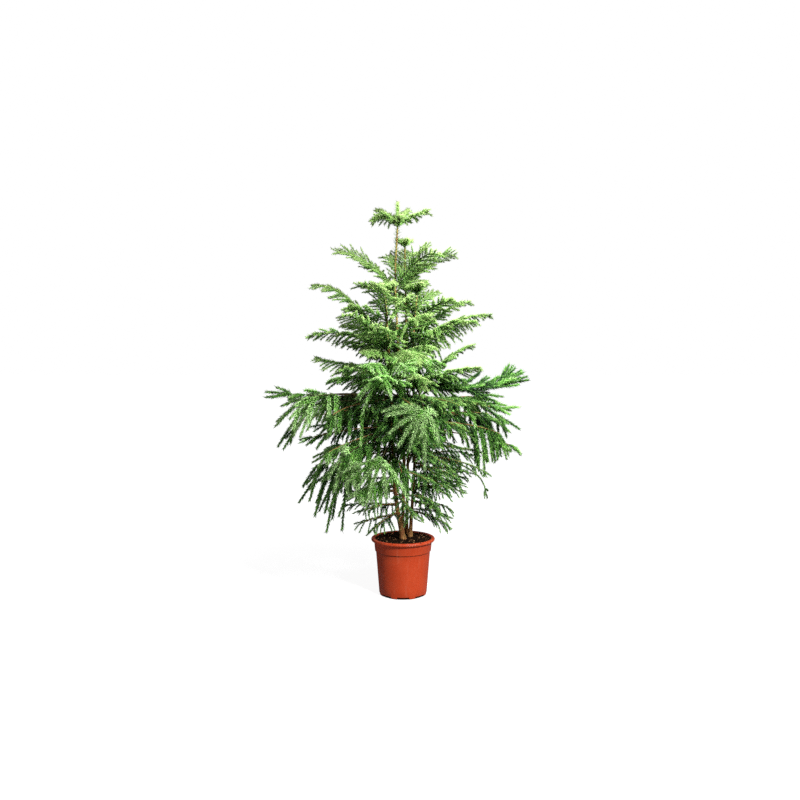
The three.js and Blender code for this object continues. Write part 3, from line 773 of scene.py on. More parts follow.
def blotch_group():
    """Shader group: soft blotches as a mask, with the share of the surface that they cover."""
    name = "Blotches"
    if name in bpy.data.node_groups:
        return bpy.data.node_groups[name]
    inputs = [("Point", "NodeSocketVector"), ("Scale", "NodeSocketFloat"), ("Edge", "NodeSocketFloat")]
    tree, given, made = new_group(name, inputs, ["Mask", "Height"])
    cloud = tree.nodes.new("ShaderNodeTexNoise")
    cloud.inputs["Detail"].default_value = BLOTCH_DETAIL
    cloud.inputs["Roughness"].default_value = BLOTCH_ROUGHNESS
    tree.links.new(given.outputs["Point"], cloud.inputs["Vector"])
    tree.links.new(given.outputs["Scale"], cloud.inputs["Scale"])
    low = computed(tree, "SUBTRACT", given.outputs["Edge"], BLOTCH_SOFTNESS)
    high = computed(tree, "ADD", given.outputs["Edge"], BLOTCH_SOFTNESS)
    tree.links.new(ranged(tree, cloud.outputs["Fac"], low, high), made.inputs["Mask"])
    tree.links.new(cloud.outputs["Fac"], made.inputs["Height"])
    return tree


def speck_group():
    """Shader group: small round specks as a mask, each with its own size up to a largest one."""
    name = "Specks"
    if name in bpy.data.node_groups:
        return bpy.data.node_groups[name]
    inputs = [("Point", "NodeSocketVector"), ("Scale", "NodeSocketFloat"), ("Size", "NodeSocketFloat")]
    tree, given, made = new_group(name, inputs, ["Mask"])
    cells = tree.nodes.new("ShaderNodeTexVoronoi")
    tree.links.new(given.outputs["Point"], cells.inputs["Vector"])
    tree.links.new(given.outputs["Scale"], cells.inputs["Scale"])
    pick = tree.nodes.new("ShaderNodeSeparateColor")
    tree.links.new(cells.outputs["Color"], pick.inputs["Color"])
    size = product(tree, pick.outputs["Red"], given.outputs["Size"])
    inside = computed(tree, "SUBTRACT", size, cells.outputs["Distance"])
    tree.links.new(ranged(tree, inside, 0.0, SPECK_EDGE), made.inputs["Mask"])
    return tree


def place_group(tree, group, **values):
    """Node for a shader group in a material, with its inputs set or linked."""
    node = tree.nodes.new("ShaderNodeGroup")
    node.node_tree = group
    for socket, value in values.items():
        feed(tree, node.inputs[socket], value)
    return node.outputs


def new_material(name, base, roughness, specular=0.5):
    """Material with one Principled shader and plain values: returns it, its tree and the shader."""
    material = bpy.data.materials.new(name)
    material.use_nodes = True
    shader = material.node_tree.nodes["Principled BSDF"]
    shader.inputs["Base Color"].default_value = rgba(base)
    shader.inputs["Roughness"].default_value = roughness
    shader.inputs["Specular IOR Level"].default_value = specular
    material.diffuse_color = rgba(base)
    return material, material.node_tree, shader


def bumped(tree, shader, height, strength, distance):
    bump = tree.nodes.new("ShaderNodeBump")
    bump.inputs["Strength"].default_value = strength
    bump.inputs["Distance"].default_value = distance
    tree.links.new(height, bump.inputs["Height"])
    tree.links.new(bump.outputs["Normal"], shader.inputs["Normal"])


def plastic_material(pot):
    """Terracotta-coloured plastic: faded patches, water runs, dust, a scuffed lip with dark crumbs, and
    painted shade under the collar's step and inside the slots.
    """
    material, tree, shader = new_material("terracotta_plastic", pot.plastic, roughness=0.45, specular=0.2)
    point = object_point(tree)
    runs_point = object_point(tree, (1, 1, 0.09))
    crumbs_point = object_point(tree, (1.2, 1.2, 1.2))
    faded = place_group(tree, blotch_group(), Point=point, Scale=14.0, Edge=0.55)
    runs = place_group(tree, blotch_group(), Point=runs_point, Scale=95.0, Edge=0.66)
    dust = place_group(tree, blotch_group(), Point=point, Scale=210.0, Edge=0.6)
    specks = place_group(tree, speck_group(), Point=point, Scale=240.0, Size=0.3)
    scuffs = place_group(tree, speck_group(), Point=point, Scale=130.0, Size=0.36)
    crumbs = place_group(tree, speck_group(), Point=crumbs_point, Scale=150.0, Size=0.4)
    height = height_of(tree, point)
    near_lip = ranged(tree, height, POT_HEIGHT - NEAR_LIP * LIP_DEPTH, POT_HEIGHT, to_low=0.25)
    on_lip = ranged(tree, height, POT_HEIGHT - LIP_DEPTH, POT_HEIGHT - LIP_DEPTH / 2)
    step = POT_HEIGHT - LIP_DEPTH - COLLAR_DEPTH
    # Painted shade: a dark band just under the collar's step
    below_step = ranged(tree, height, step - STEP_SHADE_REACH, step)
    above_step = fading(tree, height, step, step + WALL / 2)
    radius = distance_of(tree, object_point(tree, (1, 1, 0)))
    # Painted shade: the inner faces of the slots round the foot are darkened
    inside = fading(tree, radius, BODY_FOOT_RADIUS - WALL, BODY_FOOT_RADIUS - WALL / 2)
    beside_slots = fading(tree, height, DRAIN_HEIGHT, DRAIN_HEIGHT + WALL / 2)
    layers = (
        (faded["Mask"], pot.faded),
        (product(tree, runs["Mask"], pot.dusty), pot.dust),
        (product(tree, product(tree, dust["Mask"], near_lip), pot.dusty * 2), pot.dust),
        (product(tree, specks["Mask"], pot.dusty), pot.dust),
        (product(tree, scuffs["Mask"], on_lip), pot.worn),
        (product(tree, crumbs["Mask"], on_lip), pot.grime_and_shade),
        # painted shade under the step
        (product(tree, below_step, above_step), pot.grime_and_shade),
        # painted shade inside the slots
        (product(tree, inside, beside_slots), pot.grime_and_shade),
    )
    plastic = rgba(pot.plastic)
    for mask, tint in layers:
        plastic = mixed(tree, mask, plastic, rgba(tint))
    tree.links.new(plastic, shader.inputs["Base Color"])
    gloss = ranged(tree, runs["Height"], 0.3, 0.7, to_low=0.36, to_high=0.56)
    tree.links.new(gloss, shader.inputs["Roughness"])
    bumped(tree, shader, dust["Height"], strength=0.05, distance=0.0006)
    return material


def soil_material(name, damp, dry, scale):
    """Crumbly soil that goes from damp to dry in blotches."""
    material, tree, shader = new_material(name, damp, roughness=0.95, specular=0.06)
    dried = place_group(tree, blotch_group(), Point=object_point(tree), Scale=scale, Edge=0.56)
    tree.links.new(mixed(tree, dried["Mask"], rgba(damp), rgba(dry)), shader.inputs["Base Color"])
    bumped(tree, shader, dried["Height"], strength=0.8, distance=0.002)
    return material


def bark_material(bark):
    """Scaly red-brown bark that turns tan and green-gold towards the stems' tips."""
    material, tree, shader = new_material("bark", bark.bark, roughness=0.8, specular=0.15)
    flat_point = object_point(tree, (1, 1, 0.55))
    cracks = place_group(tree, blotch_group(), Point=flat_point, Scale=330.0, Edge=0.43)
    patches = place_group(tree, blotch_group(), Point=flat_point, Scale=90.0, Edge=0.55)
    scars = place_group(tree, speck_group(), Point=flat_point, Scale=260.0, Size=0.5)
    young = ranged(tree, height_of(tree, object_point(tree)), *YOUNG_BARK_HEIGHTS)
    old = mixed(tree, patches["Mask"], rgba(bark.bark), rgba(bark.old_rib))
    skin = mixed(tree, young, old, rgba(bark.young_bark))
    skin = mixed(tree, product(tree, scars["Mask"], SCAR_STRENGTH), skin, rgba(bark.old_rib))
    cracked = mixed(tree, cracks["Mask"], rgba(bark.cracks), skin)
    tree.links.new(cracked, shader.inputs["Base Color"])
    gloss = ranged(tree, cracks["Height"], 0.3, 0.7, to_low=0.95, to_high=0.65)
    tree.links.new(gloss, shader.inputs["Roughness"])
    bumped(tree, shader, cracks["Height"], strength=0.7, distance=0.0012)
    return material


def rib_material(name, base, shaded):
    """Skin of a bough, with the scars of fallen needles."""
    material, tree, shader = new_material(name, base, roughness=0.6, specular=0.35)
    point = object_point(tree)
    mottle = place_group(tree, blotch_group(), Point=point, Scale=260.0, Edge=0.5)
    scars = place_group(tree, speck_group(), Point=point, Scale=420.0, Size=0.6)
    skin = mixed(tree, mottle["Mask"], rgba(shaded), rgba(base))
    scarred = mixed(tree, product(tree, scars["Mask"], RIB_SCAR_STRENGTH), skin, rgba(shaded))
    tree.links.new(scarred, shader.inputs["Base Color"])
    bumped(tree, shader, mottle["Height"], strength=0.5, distance=0.0008)
    return material


def green_material(name, base):
    """Waxy skin of needles or twigs: one plain green."""
    material, _, _ = new_material(name, base, roughness=0.42, specular=0.4)
    return material


# Growth, by the rule of the solids


def stem_rings(name):
    """Heights, centres and radii of a packed stem's rings, from the foot up."""
    corners = np.array([corner.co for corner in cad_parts[f"{name}_stem"].data.vertices])
    levels = np.unique((corners[:, 2] / LEVEL_STEP).round()) * LEVEL_STEP
    centres, radii = [], []
    for level in levels:
        ring = np.unique(corners[np.abs(corners[:, 2] - level) < LEVEL_STEP].round(6), axis=0)
        centres.append(ring.mean(0))
        radii.append(np.linalg.norm(ring - ring.mean(0), axis=1).max())
    return levels, np.array(centres), np.array(radii)


def stem_at(rings, height):
    """Centre and radius of a stem at some height."""
    levels, centres, radii = rings
    centre = np.array([np.interp(height, levels, centres[:, axis]) for axis in range(3)])
    return centre, np.interp(height, levels, radii)


def limb_points(limbs, owner, shares):
    """Points and unit directions at shares of the lengths of some limbs."""
    root, knee, tip = limbs.root[owner], limbs.knee[owner], limbs.tip[owner]
    first = np.linalg.norm(knee - root, axis=1)
    second = np.linalg.norm(tip - knee, axis=1)
    change = np.where(np.abs(second - first) < LEAST_CHANGE, LEAST_CHANGE, second - first)
    bend = (np.sqrt(first**2 + change * (first + second) * shares) - first) / change
    bend = bend[:, None]
    point = (1 - bend) ** 2 * root + 2 * bend * (1 - bend) * knee + bend**2 * tip
    return point, unit((1 - bend) * (knee - root) + bend * (tip - knee))


def limb_spans(limbs):
    """Lengths of limbs by way of their knees."""
    first = np.linalg.norm(limbs.knee - limbs.root, axis=1)
    return first + np.linalg.norm(limbs.tip - limbs.knee, axis=1)


def limb_axes(limbs, owner, along):
    """Two unit vectors across some limbs, at right angles to their directions and to each other."""
    side = limbs.across[owner]
    side = unit(side - along * (side * along).sum(1, keepdims=True))
    return side, np.cross(along, side)


def join_limbs(groups):
    return Limbs(*(np.concatenate(rows) for rows in zip(*groups)))


def pick_limbs(limbs, picked):
    return Limbs(*(rows[picked] for rows in limbs))


def one_limb(root, knee, tip, across, thick, thin, age, tone, node):
    return Limbs(*(np.array([row]) for row in (root, knee, tip, across, thick, thin, age, tone, node)))


def arched_limb(root, frond, bend, thick, thin, age, tone, node):
    """Limb with a frond's reach and slopes, and its knee at a share of the reach."""
    azimuth, reach, rise, fall = frond[:4]
    knee = root + heading(azimuth, rise) * reach * bend
    tip = knee + heading(azimuth, fall) * reach * (1 - bend)
    return one_limb(root, knee, tip, heading(azimuth + 90, 0), thick, thin, age, tone, node)


def twig_share(shares, style):
    """Length of the side twigs along a rib, as a share of the longest."""
    tip = style.get("tip", lerp(*TIP_TWIG, style["age"]))
    peak = style.get("peak", lerp(*PEAK_POWER, style["age"]))
    return tip + (1 - tip) * np.sin(np.pi * shares**peak) ** style.get("taper", 1)


def roll_of(seed):
    """Turn of a frond about its rib, one way or the other, in degrees."""
    lean = float(jitter(seed))
    return math.copysign(lerp(ROLL_LEAST, ROLL_MOST, abs(lean)), lean)


def twig_places(span, first, style, seed, foliage):
    """Shares of a rib's length where its side twigs stand, in alternating pairs."""
    gap = style.get("gap", lerp(foliage.young_gap, foliage.old_gap, style["age"]))
    pairs = max(2, round(span * (LAST_TWIG - first) / gap))
    count = np.arange(2 * pairs)
    shares = lerp(first, LAST_TWIG, count / count[-1])
    return np.clip(shares + SHARE_JITTER / pairs * jitter(seed + SHARE_STRIDE * count), first, LAST_TWIG)


def twig_lengths(shares, count, style, seed):
    """Lengths of side twigs, uneven twig by twig and cluster by cluster."""
    uneven = LENGTH_JITTER * jitter(seed + PAIR_STRIDE * count + 1)
    uneven = uneven + CLUSTER_LENGTH * jitter(seed + CLUSTER_LENGTH_STRIDE * (count // CLUSTER))
    return style["spray"] * twig_share(shares, style) * (1 + uneven)


def twig_droops(shares, count, style, seed):
    """How far side twigs bend, from -1, straight up, to 1, straight down."""
    limp = DROOP_JITTER * jitter(seed + DROOP_STRIDE * count)
    limp = limp + CLUSTER_DROOP * jitter(seed + CLUSTER_DROOP_STRIDE * (count // CLUSTER))
    droop = style["hang"] * (1 - style.get("lift", TIP_LIFT) * shares**TIP_LIFT_POWER) * (1 + limp)
    return np.clip(droop, -1, 1)


def twig_tosses(count, age, seed):
    """Small changes to the directions of side twigs, twig by twig and cluster by cluster."""
    axis = np.arange(3)
    cluster = count // CLUSTER
    toss = lerp(*TWIG_TOSS, age) * jitter(seed + TOSS_STRIDE * count[:, None] + axis)
    return toss + lerp(*CLUSTER_TOSS, age) * jitter(seed + CLUSTER_TOSS_STRIDE * cluster[:, None] + axis)


def twig_openings(shares, first, style):
    """Degrees between side twigs and their rib, from the first twig to the last."""
    root, tip = style.get("spread", (SPREAD_ROOT, lerp(*SPREAD_TIP, style["age"])))
    return lerp(root, tip, (shares - first) / (LAST_TWIG - first))


def side_twigs(rib, azimuth, style, seed, foliage):
    """Side twigs of a frond: each leaves the rib to one side or the other, then bends to its tip."""
    age = style["age"]
    first = style.get("first", lerp(*FIRST_TWIG, age))
    shares = twig_places(limb_spans(rib)[0], first, style, seed, foliage)
    count = np.arange(len(shares))
    every = np.ones(len(shares))
    root, along = limb_points(rib, np.zeros_like(count), shares)
    side = heading(azimuth + 90, style.get("roll", roll_of(seed))) * np.where(count % 2, 1, -1)[:, None]
    spread = twig_openings(shares, first, style) + SPREAD_JITTER * jitter(seed + PAIR_STRIDE * count)
    spread = np.radians(spread)[:, None]
    droop = twig_droops(shares, count, style, seed)[:, None]
    out = along * np.cos(spread) + side * np.sin(spread) - UP * droop * SPRAY_DROP
    out = unit(out + twig_tosses(count, age, seed))
    end = unit(out * (1 - np.abs(droop)) - UP * droop)
    reaches = twig_lengths(shares, count, style, seed)[:, None]
    bend = style.get("knee", lerp(*SPRAY_KNEE, age))
    knee = root + out * (bend * reaches)
    tip = knee + end * ((1 - bend) * reaches)
    # darker near the stem: partly older growth, partly painted shade inside the crown
    tone = rib.tone + TONE_OUTWARD * (shares - 0.5)
    tone = tone + lerp(*TONE_JITTER, age) * jitter(seed + TONE_STRIDE * count)
    return Limbs(
        root, knee, tip, along,
        every * lerp(TWIG_ROOT_YOUNG, TWIG_ROOT_OLD, age), every * TWIG_TIP_RADIUS,
        every * age, tone, np.repeat(rib.node, len(count)),
    )


def tip_ropes(rib, style, seed):
    """Ropes that spread from a frond's tip, each as it is typed in the frond's style."""
    node, age, start = rib.node[0], style["age"], rib.tip[0]
    ropes = []
    for number, rope in enumerate(style["ropes"]):
        tone = rib.tone[0] + ROPE_TONE * jitter(seed + number)
        ropes.append(arched_limb(start, rope, ROPE_KNEE, TWIG_ROOT_OLD, TWIG_TIP_RADIUS, age, tone, node))
    return join_limbs(ropes)


class Plant(NamedTuple):
    """Boughs, tufts' shoots and twigs of the whole plant, and the nodes that they stand for."""

    ribs: Limbs
    shoots: Limbs
    twigs: Limbs
    nodes: list


def frond_rib(rings, level, frond, style, node):
    """Rib of a frond that grows from a stem's bark: straight at first, then arching over to its tip."""
    azimuth, _, rise, _ = frond[:4]
    centre, radius = stem_at(rings, level)
    lean = math.sin(math.radians(rise))
    tilt = RIB_ROOT_RADIUS * max(lean, -lean / 2)
    root = centre + heading(azimuth, 0) * (radius + ROOT_GAP + tilt)
    tone = np.interp(level, TONE_HEIGHTS, TONE_LEVELS) + style.get("tone", 0)
    return arched_limb(root, frond, RIB_KNEE, RIB_ROOT_RADIUS, RIB_TIP_RADIUS, style["age"], tone, node)


def grow_fronds(rings, foliage):
    """Ribs, twigs and node names of the fronds: whorl by whorl, then the smaller ones between."""
    ribs, twigs, nodes = [], [], []
    whorl_count = dict.fromkeys(STEM_NAMES, 0)
    for whorl, (stem, height, whorl_style, fronds) in enumerate(WHORLS + FILLERS):
        whorl_count[stem] += 1
        known = join_limbs(ribs) if whorl >= len(WHORLS) else None
        for index, frond in enumerate(fronds):
            style = whorl_style | (frond[4] if len(frond) > 4 else {})
            level = height + index * WHORL_STAGGER
            rib = frond_rib(rings[stem], level, frond, style, len(nodes))
            if known:
                nearest = np.linalg.norm(known.knee - rib.knee, axis=1).argmin()
                rib = rib._replace(node=known.node[[nearest]])
            else:
                nodes.append(f"{stem}_frond_{whorl_count[stem]}{FROND_LETTERS[index]}")
            ribs.append(rib)
            seed = frond[0] + height * MILLIMETRES
            twigs.append(side_twigs(rib, frond[0], style, seed, foliage))
            if "ropes" in style:
                twigs.append(tip_ropes(rib, style, seed))
    return ribs, twigs, nodes


def grow_tuft(stem_top, thick, leader, fronds, node, foliage):
    """Leader, short shoots and twigs of the tuft on a stem."""
    seat, tip = stem_top + UP * TUFT_SEAT, stem_top + UP * leader
    age, tone = TUFT_STYLE["age"], np.interp(stem_top[2], TONE_HEIGHTS, TONE_LEVELS)
    middle = (stem_top + tip) / 2
    shoots = [one_limb(stem_top, middle, tip, heading(0, 0), thick, LEADER_TIP_RADIUS, age, tone, node)]
    twigs = []
    for frond in fronds:
        azimuth, reach = frond[:2]
        shoot = arched_limb(seat, frond, TUFT_KNEE, TUFT_RIB_RADIUS, TWIG_TIP_RADIUS, age, tone, node)
        shoots.append(shoot)
        style = TUFT_STYLE | {"spray": reach * TUFT_SPRAY}
        twigs.append(side_twigs(shoot, azimuth, style, azimuth, foliage))
    return shoots, twigs


def grow_plant(foliage):
    """Every bough and twig of the plant: the fronds, then a tuft on each stem."""
    rings = {name: stem_rings(name) for name in STEM_NAMES}
    ribs, twigs, nodes = grow_fronds(rings, foliage)
    shoots = []
    for stem, leader, fronds in TUFTS:
        _, centres, radii = rings[stem]
        tuft, tuft_twigs = grow_tuft(centres[-1], radii[-1], leader, fronds, len(nodes), foliage)
        shoots += tuft
        twigs += tuft_twigs
        nodes.append(f"{stem}_tuft")
    return Plant(join_limbs(ribs), join_limbs(shoots), join_limbs(twigs), nodes)


def stem_runs(above, first_node):
    """Straight runs of the stems above some height, as limbs that needles stand on."""
    runs = []
    for node, name in enumerate(STEM_NAMES, first_node):
        levels, centres, radii = stem_rings(name)
        heights = [above, *levels[levels > above]]
        stops = [stem_at((levels, centres, radii), height) for height in heights]
        for (low, thick), (high, thin) in zip(stops, stops[1:]):
            middle, tone = (low + high) / 2, STEM_NEEDLE_TONE
            runs.append(one_limb(low, middle, high, heading(0, 0), thick, thin, 0.0, tone, node))
    return join_limbs(runs)


# Meshes of limbs and needles


def tube_corners(limbs, sides, steps, relief, sink):
    """Corners of tubes along limbs: rings from the root to the tip, then a point."""
    count = len(limbs.root)
    owner = np.repeat(np.arange(count), steps + 1)
    shares = np.tile(np.linspace(0, 1, steps + 1), count)
    centre, along = limb_points(limbs, owner, shares)
    centre[shares == 0] -= along[shares == 0] * sink
    side, over = limb_axes(limbs, owner, along)
    radius = lerp(limbs.thick[owner], limbs.thin[owner], shares)
    turn = FULL_TURN * np.arange(sides) / sides
    rough = 1 + relief * jitter(np.arange(len(owner) * sides)).reshape(len(owner), sides)
    spoke = side[:, None] * np.cos(turn)[:, None] + over[:, None] * np.sin(turn)[:, None]
    ring = centre[:, None] + spoke * (radius[:, None] * rough)[:, :, None]
    last = np.arange(count) * (steps + 1) + steps
    point = limbs.tip + along[last] * (2 * limbs.thin[:, None])
    return np.concatenate([ring.reshape(count, -1, 3), point[:, None]], axis=1)


def tube_faces(sides, steps):
    """Triangles of one tube, closed at its root and pointed at its tip."""
    faces = []
    for step in range(steps + 1):
        for corner in range(sides):
            a = step * sides + corner
            b = step * sides + (corner + 1) % sides
            if step == steps:
                faces.append((a, b, (steps + 1) * sides))
            else:
                faces.extend([(a, b, b + sides), (a, b + sides, a + sides)])
    faces.extend((0, corner + 1, corner) for corner in range(1, sides - 1))
    return np.array(faces)


def limb_pieces(kind, limbs, nodes, old, young, sides, steps, relief=0.0, sink=0.0):
    """Tubes along limbs, as a piece of old ones and a piece of young ones, each with its material."""
    is_young = limbs.tone >= YOUNG_LEAST
    for age, picked, material in (("old", ~is_young, old), ("young", is_young, young)):
        tubes = pick_limbs(limbs, picked)
        corners = tube_corners(tubes, sides, steps, relief, sink)
        piece = repeated_piece(f"{age}_{kind}", corners, tube_faces(sides, steps))
        smooth_by_angle(piece, SMOOTH_ANGLE)
        settle(piece, material, [nodes[node] for node in np.unique(tubes.node)])


class Needles(NamedTuple):
    """Needles as rows of four corners, with their shade of green and the node that they belong to."""

    corners: np.ndarray
    tone: np.ndarray
    node: np.ndarray


def needle_greens(tone, age):
    """Numbers of the greens nearest to some tones, those of young limbs or of old ones."""
    nearest = np.rint(np.clip(tone, 0, len(YOUNG_TONES) - 1)).astype(int)
    return np.where(age < OLD_AGE, np.take(YOUNG_TONES, nearest), np.take(OLD_TONES, nearest))


def needles_on(limbs, per_metre, first, needle_length, needle_width, leans, chance):
    """Needles that spiral round limbs, leaning forward more and more towards the tip."""
    count = np.maximum(LEAST_NEEDLES, limb_spans(limbs) * per_metre).astype(int)
    owner = np.repeat(np.arange(len(count)), count)
    order = np.arange(count.sum()) - np.repeat(np.cumsum(count) - count, count)
    shares = lerp(first, 1.0, (order + 0.5) / count[owner])
    point, along = limb_points(limbs, owner, shares)
    side, over = limb_axes(limbs, owner, along)
    turn = (order * GOLDEN_ANGLE + chance.random(len(count))[owner] * FULL_TURN)[:, None]
    spoke = side * np.cos(turn) + over * np.sin(turn)
    lean = lerp(*leans, shares**2) + NEEDLE_LEAN_JITTER * chance.normal(size=len(owner))
    lean = np.radians(lean)[:, None]
    pointing = along * np.cos(lean) + spoke * np.sin(lean)
    radius = lerp(limbs.thick[owner], limbs.thin[owner], shares)[:, None]
    base = point + spoke * radius * NEEDLE_SINK
    longer = np.clip(chance.normal(size=len(owner)), -NEEDLE_LENGTH_LIMIT, NEEDLE_LENGTH_LIMIT)
    size = needle_length[owner] * (1 + NEEDLE_LENGTH_JITTER * longer)
    size = (size * (1 - NEEDLE_SHRINK * shares**3))[:, None]
    across = np.cross(along, spoke)
    above = np.cross(pointing, across)
    half = needle_width[owner][:, None] / 2
    belly = base + pointing * size * NEEDLE_BELLY + above * half * NEEDLE_FLATNESS
    apex = base + pointing * size + along * size * NEEDLE_CURL
    corners = np.stack([base, belly + across * half, belly - across * half, apex], axis=1)
    tone = limbs.tone[owner] + lerp(*TONE_ALONG, shares)
    # painted light: upper needles lighter, lower ones darker, long needles lighter than the short ones in
    # the rope's core
    tone = tone + TOPLIGHT_SHADE_TONE * spoke[:, 2] + LONG_NEEDLE_LIGHT_TONE * longer
    tone += NEEDLE_TONE_JITTER * chance.normal(size=len(owner))
    return Needles(corners, needle_greens(tone, limbs.age[owner]), limbs.node[owner])


def soil_height(x, y):
    """Height of the soil's crumbly surface."""
    out = (math.hypot(x, y) - SOIL_FLAT_RADIUS) / (COLLAR_TOP_RADIUS - SOIL_FLAT_RADIUS)
    out = min(1.0, max(0.0, out))
    place = Vector((x / CLOD_SIZE, y / CLOD_SIZE, 0))
    clods = noise.fractal(place, CLOD_ROUGHNESS, NOISE_LACUNARITY, NOISE_OCTAVES)
    grit = noise.noise(Vector((x / GRIT_SIZE, y / GRIT_SIZE, GRIT_LAYER)))
    return SOIL_LEVEL - SOIL_DISH * out + clods * CLOD_HEIGHT + grit * GRIT_HEIGHT


# Pieces


class PINE_OT_make_pot(bpy.types.Operator):
    """Turn the nursery pot: foot, tapered body, collar and rolled lip, with slots round the foot"""

    bl_idname = "pine.make_pot"
    bl_label = "Make Pot"

    def execute(self, context):
        pot = lathe_piece("pot_shell", self.outline())
        self.cut_drains(pot)
        rounded = pot.modifiers.new("rounded_edges", "BEVEL")
        rounded.width = EDGE_ROUND
        rounded.segments = EDGE_SEGMENTS
        rounded.limit_method = "ANGLE"
        rounded.angle_limit = math.radians(EDGE_ANGLE)
        apply_modifiers(pot)
        smooth_by_angle(pot, EDGE_ANGLE)
        settle(pot, plastic_material(context.scene.pine_pot), ["pot"])
        return {"FINISHED"}

    def outline(self):
        """Outline of the pot: up the outside from its underside, over the lip and down to its floor."""
        collar_top = POT_HEIGHT - LIP_DEPTH
        step = collar_top - COLLAR_DEPTH
        lip = LIP_DEPTH / 2
        outline = []
        for i in range(FOOT_ARC_STEPS + 1):
            turn = math.pi / 2 * i / FOOT_ARC_STEPS
            foot = BODY_FOOT_RADIUS - FOOT_ROUND * (1 - math.sin(turn))
            outline.append((foot, FOOT_ROUND * (1 - math.cos(turn))))
        for i in range(1, BODY_STEPS + 1):
            up = i / BODY_STEPS
            outline.append((lerp(BODY_FOOT_RADIUS, BODY_TOP_RADIUS, up), lerp(FOOT_ROUND, step, up)))
        outline += [(COLLAR_FOOT_RADIUS, step + WALL / 4), (COLLAR_TOP_RADIUS, collar_top)]
        for i in range(LIP_ARC_STEPS + 1):
            turn = math.pi * (i / LIP_ARC_STEPS - 0.5)
            edge = LIP_RADIUS - lip + lip * math.cos(turn)
            outline.append((edge, collar_top + lip + lip * math.sin(turn)))
        outline += [
            (COLLAR_TOP_RADIUS, POT_HEIGHT - WALL / 4),
            (COLLAR_TOP_RADIUS - WALL, POT_HEIGHT - WALL),
            (COLLAR_FOOT_RADIUS - WALL, step + 2 * WALL),
            (BODY_TOP_RADIUS - WALL, step + WALL),
            (BODY_FOOT_RADIUS - WALL, FLOOR),
        ]
        return outline

    def cut_drains(self, pot):
        """Cuts the slots round the foot."""
        for i in range(DRAIN_COUNT):
            turn = FULL_TURN * i / DRAIN_COUNT + math.pi / 2
            place = (BODY_FOOT_RADIUS * math.cos(turn), BODY_FOOT_RADIUS * math.sin(turn), 0)
            deselect_all()
            bpy.ops.mesh.primitive_cube_add(size=1, location=place, rotation=(0, 0, turn))
            slot = bpy.context.object
            slot.scale = (DRAIN_DEPTH, DRAIN_WIDTH, 2 * DRAIN_HEIGHT)
            cut = pot.modifiers.new("drain", "BOOLEAN")
            cut.operation = "DIFFERENCE"
            cut.object = slot
            apply_modifiers(pot)
            bpy.data.objects.remove(slot)


class PINE_OT_fill_soil(bpy.types.Operator):
    """Fill the pot with crumbly soil, and scatter crumbs and bark chips on top"""

    bl_idname = "pine.fill_soil"
    bl_label = "Fill Soil"

    def execute(self, context):
        pot = context.scene.pine_pot
        bed = self.soil_bed()
        settle(bed, soil_material("damp_peat", pot.peat, pot.dry_peat, scale=120.0), ["soil"])
        chance = np.random.default_rng(SEED)
        dark = self.crumbs("soil_crumbs", pot.crumbs, CRUMB_SIZES, CRUMB_FLATNESS, chance)
        settle(dark, soil_material("peat_crumbs", pot.peat, pot.dry_peat, scale=160.0), ["soil"])
        chips = self.crumbs("bark_chips", pot.crumbs // CRUMBS_PER_CHIP, CHIP_SIZES, CHIP_FLATNESS, chance)
        settle(chips, soil_material("bark_chips", pot.dry_peat, pot.chips, scale=90.0), ["soil"])
        return {"FINISHED"}

    def soil_bed(self):
        """Plug of soil that fills the pot, with clods on its top."""
        step = POT_HEIGHT - LIP_DEPTH - COLLAR_DEPTH
        inside = WALL + SOIL_GAP
        edge = SOIL_LEVEL - SOIL_DISH
        inner_step = step + 2 * WALL
        filled = (edge - inner_step) / (POT_HEIGHT - inner_step)
        wall_radius = lerp(COLLAR_FOOT_RADIUS, COLLAR_TOP_RADIUS, filled)
        outline = [
            (BODY_FOOT_RADIUS - inside, FLOOR + SOIL_GAP),
            (BODY_TOP_RADIUS - inside, step + WALL + SOIL_GAP),
            (COLLAR_FOOT_RADIUS - inside, inner_step + SOIL_GAP),
            (wall_radius - inside, edge),
        ]
        bed = lathe_piece("soil_bed", outline)
        for face in bed.data.polygons:
            face.select = face.normal.z > FACING_UP
        bpy.ops.object.mode_set(mode="EDIT")
        for _ in range(SOIL_RINGS - 1):
            bpy.ops.mesh.inset(thickness=wall_radius / SOIL_RINGS)
        bpy.ops.object.mode_set(mode="OBJECT")
        for corner in bed.data.vertices:
            if corner.co.z > edge - SOIL_GAP and corner.co.xy.length < wall_radius - 2 * inside:
                corner.co.z = soil_height(corner.co.x, corner.co.y)
        smooth_by_angle(bed, SMOOTH_ANGLE)
        return bed

    def crumbs(self, name, count, sizes, flatness, chance):
        """Scattered lumps of soil, each an uneven shape of twenty faces."""
        deselect_all()
        bpy.ops.mesh.primitive_ico_sphere_add(subdivisions=1, radius=1)
        lump = bpy.context.object
        shape = np.array([corner.co for corner in lump.data.vertices])
        faces = np.array([face.vertices for face in lump.data.polygons])
        bpy.data.objects.remove(lump)
        reach = (COLLAR_TOP_RADIUS - 2 * WALL) * np.sqrt(chance.random(count))
        turn = FULL_TURN * chance.random(count)
        x, y = reach * np.cos(turn), reach * np.sin(turn)
        z = [soil_height(*place) for place in zip(x, y)]
        size = lerp(*sizes, chance.random(count) ** CRUMB_SIZE_POWER)
        flat = np.array([1, 1, flatness])
        stretch = lerp(CRUMB_LEAST * flat, CRUMB_MOST * flat, chance.random((count, 3)))
        dents = lerp(*CRUMB_DENTS, chance.random((count, len(shape), 1)))
        corners = shape[None] * stretch[:, None] * dents
        spin = chance.normal(size=(count, 3, 3))
        axes, _ = np.linalg.qr(np.eye(3) * CRUMB_UPRIGHT + spin)
        axes *= np.linalg.det(axes)[:, None, None]
        corners = np.einsum("nij,nkj->nki", axes, corners) * size[:, None, None]
        corners += np.stack([x, y, z], axis=1)[:, None]
        return repeated_piece(name, corners, faces)


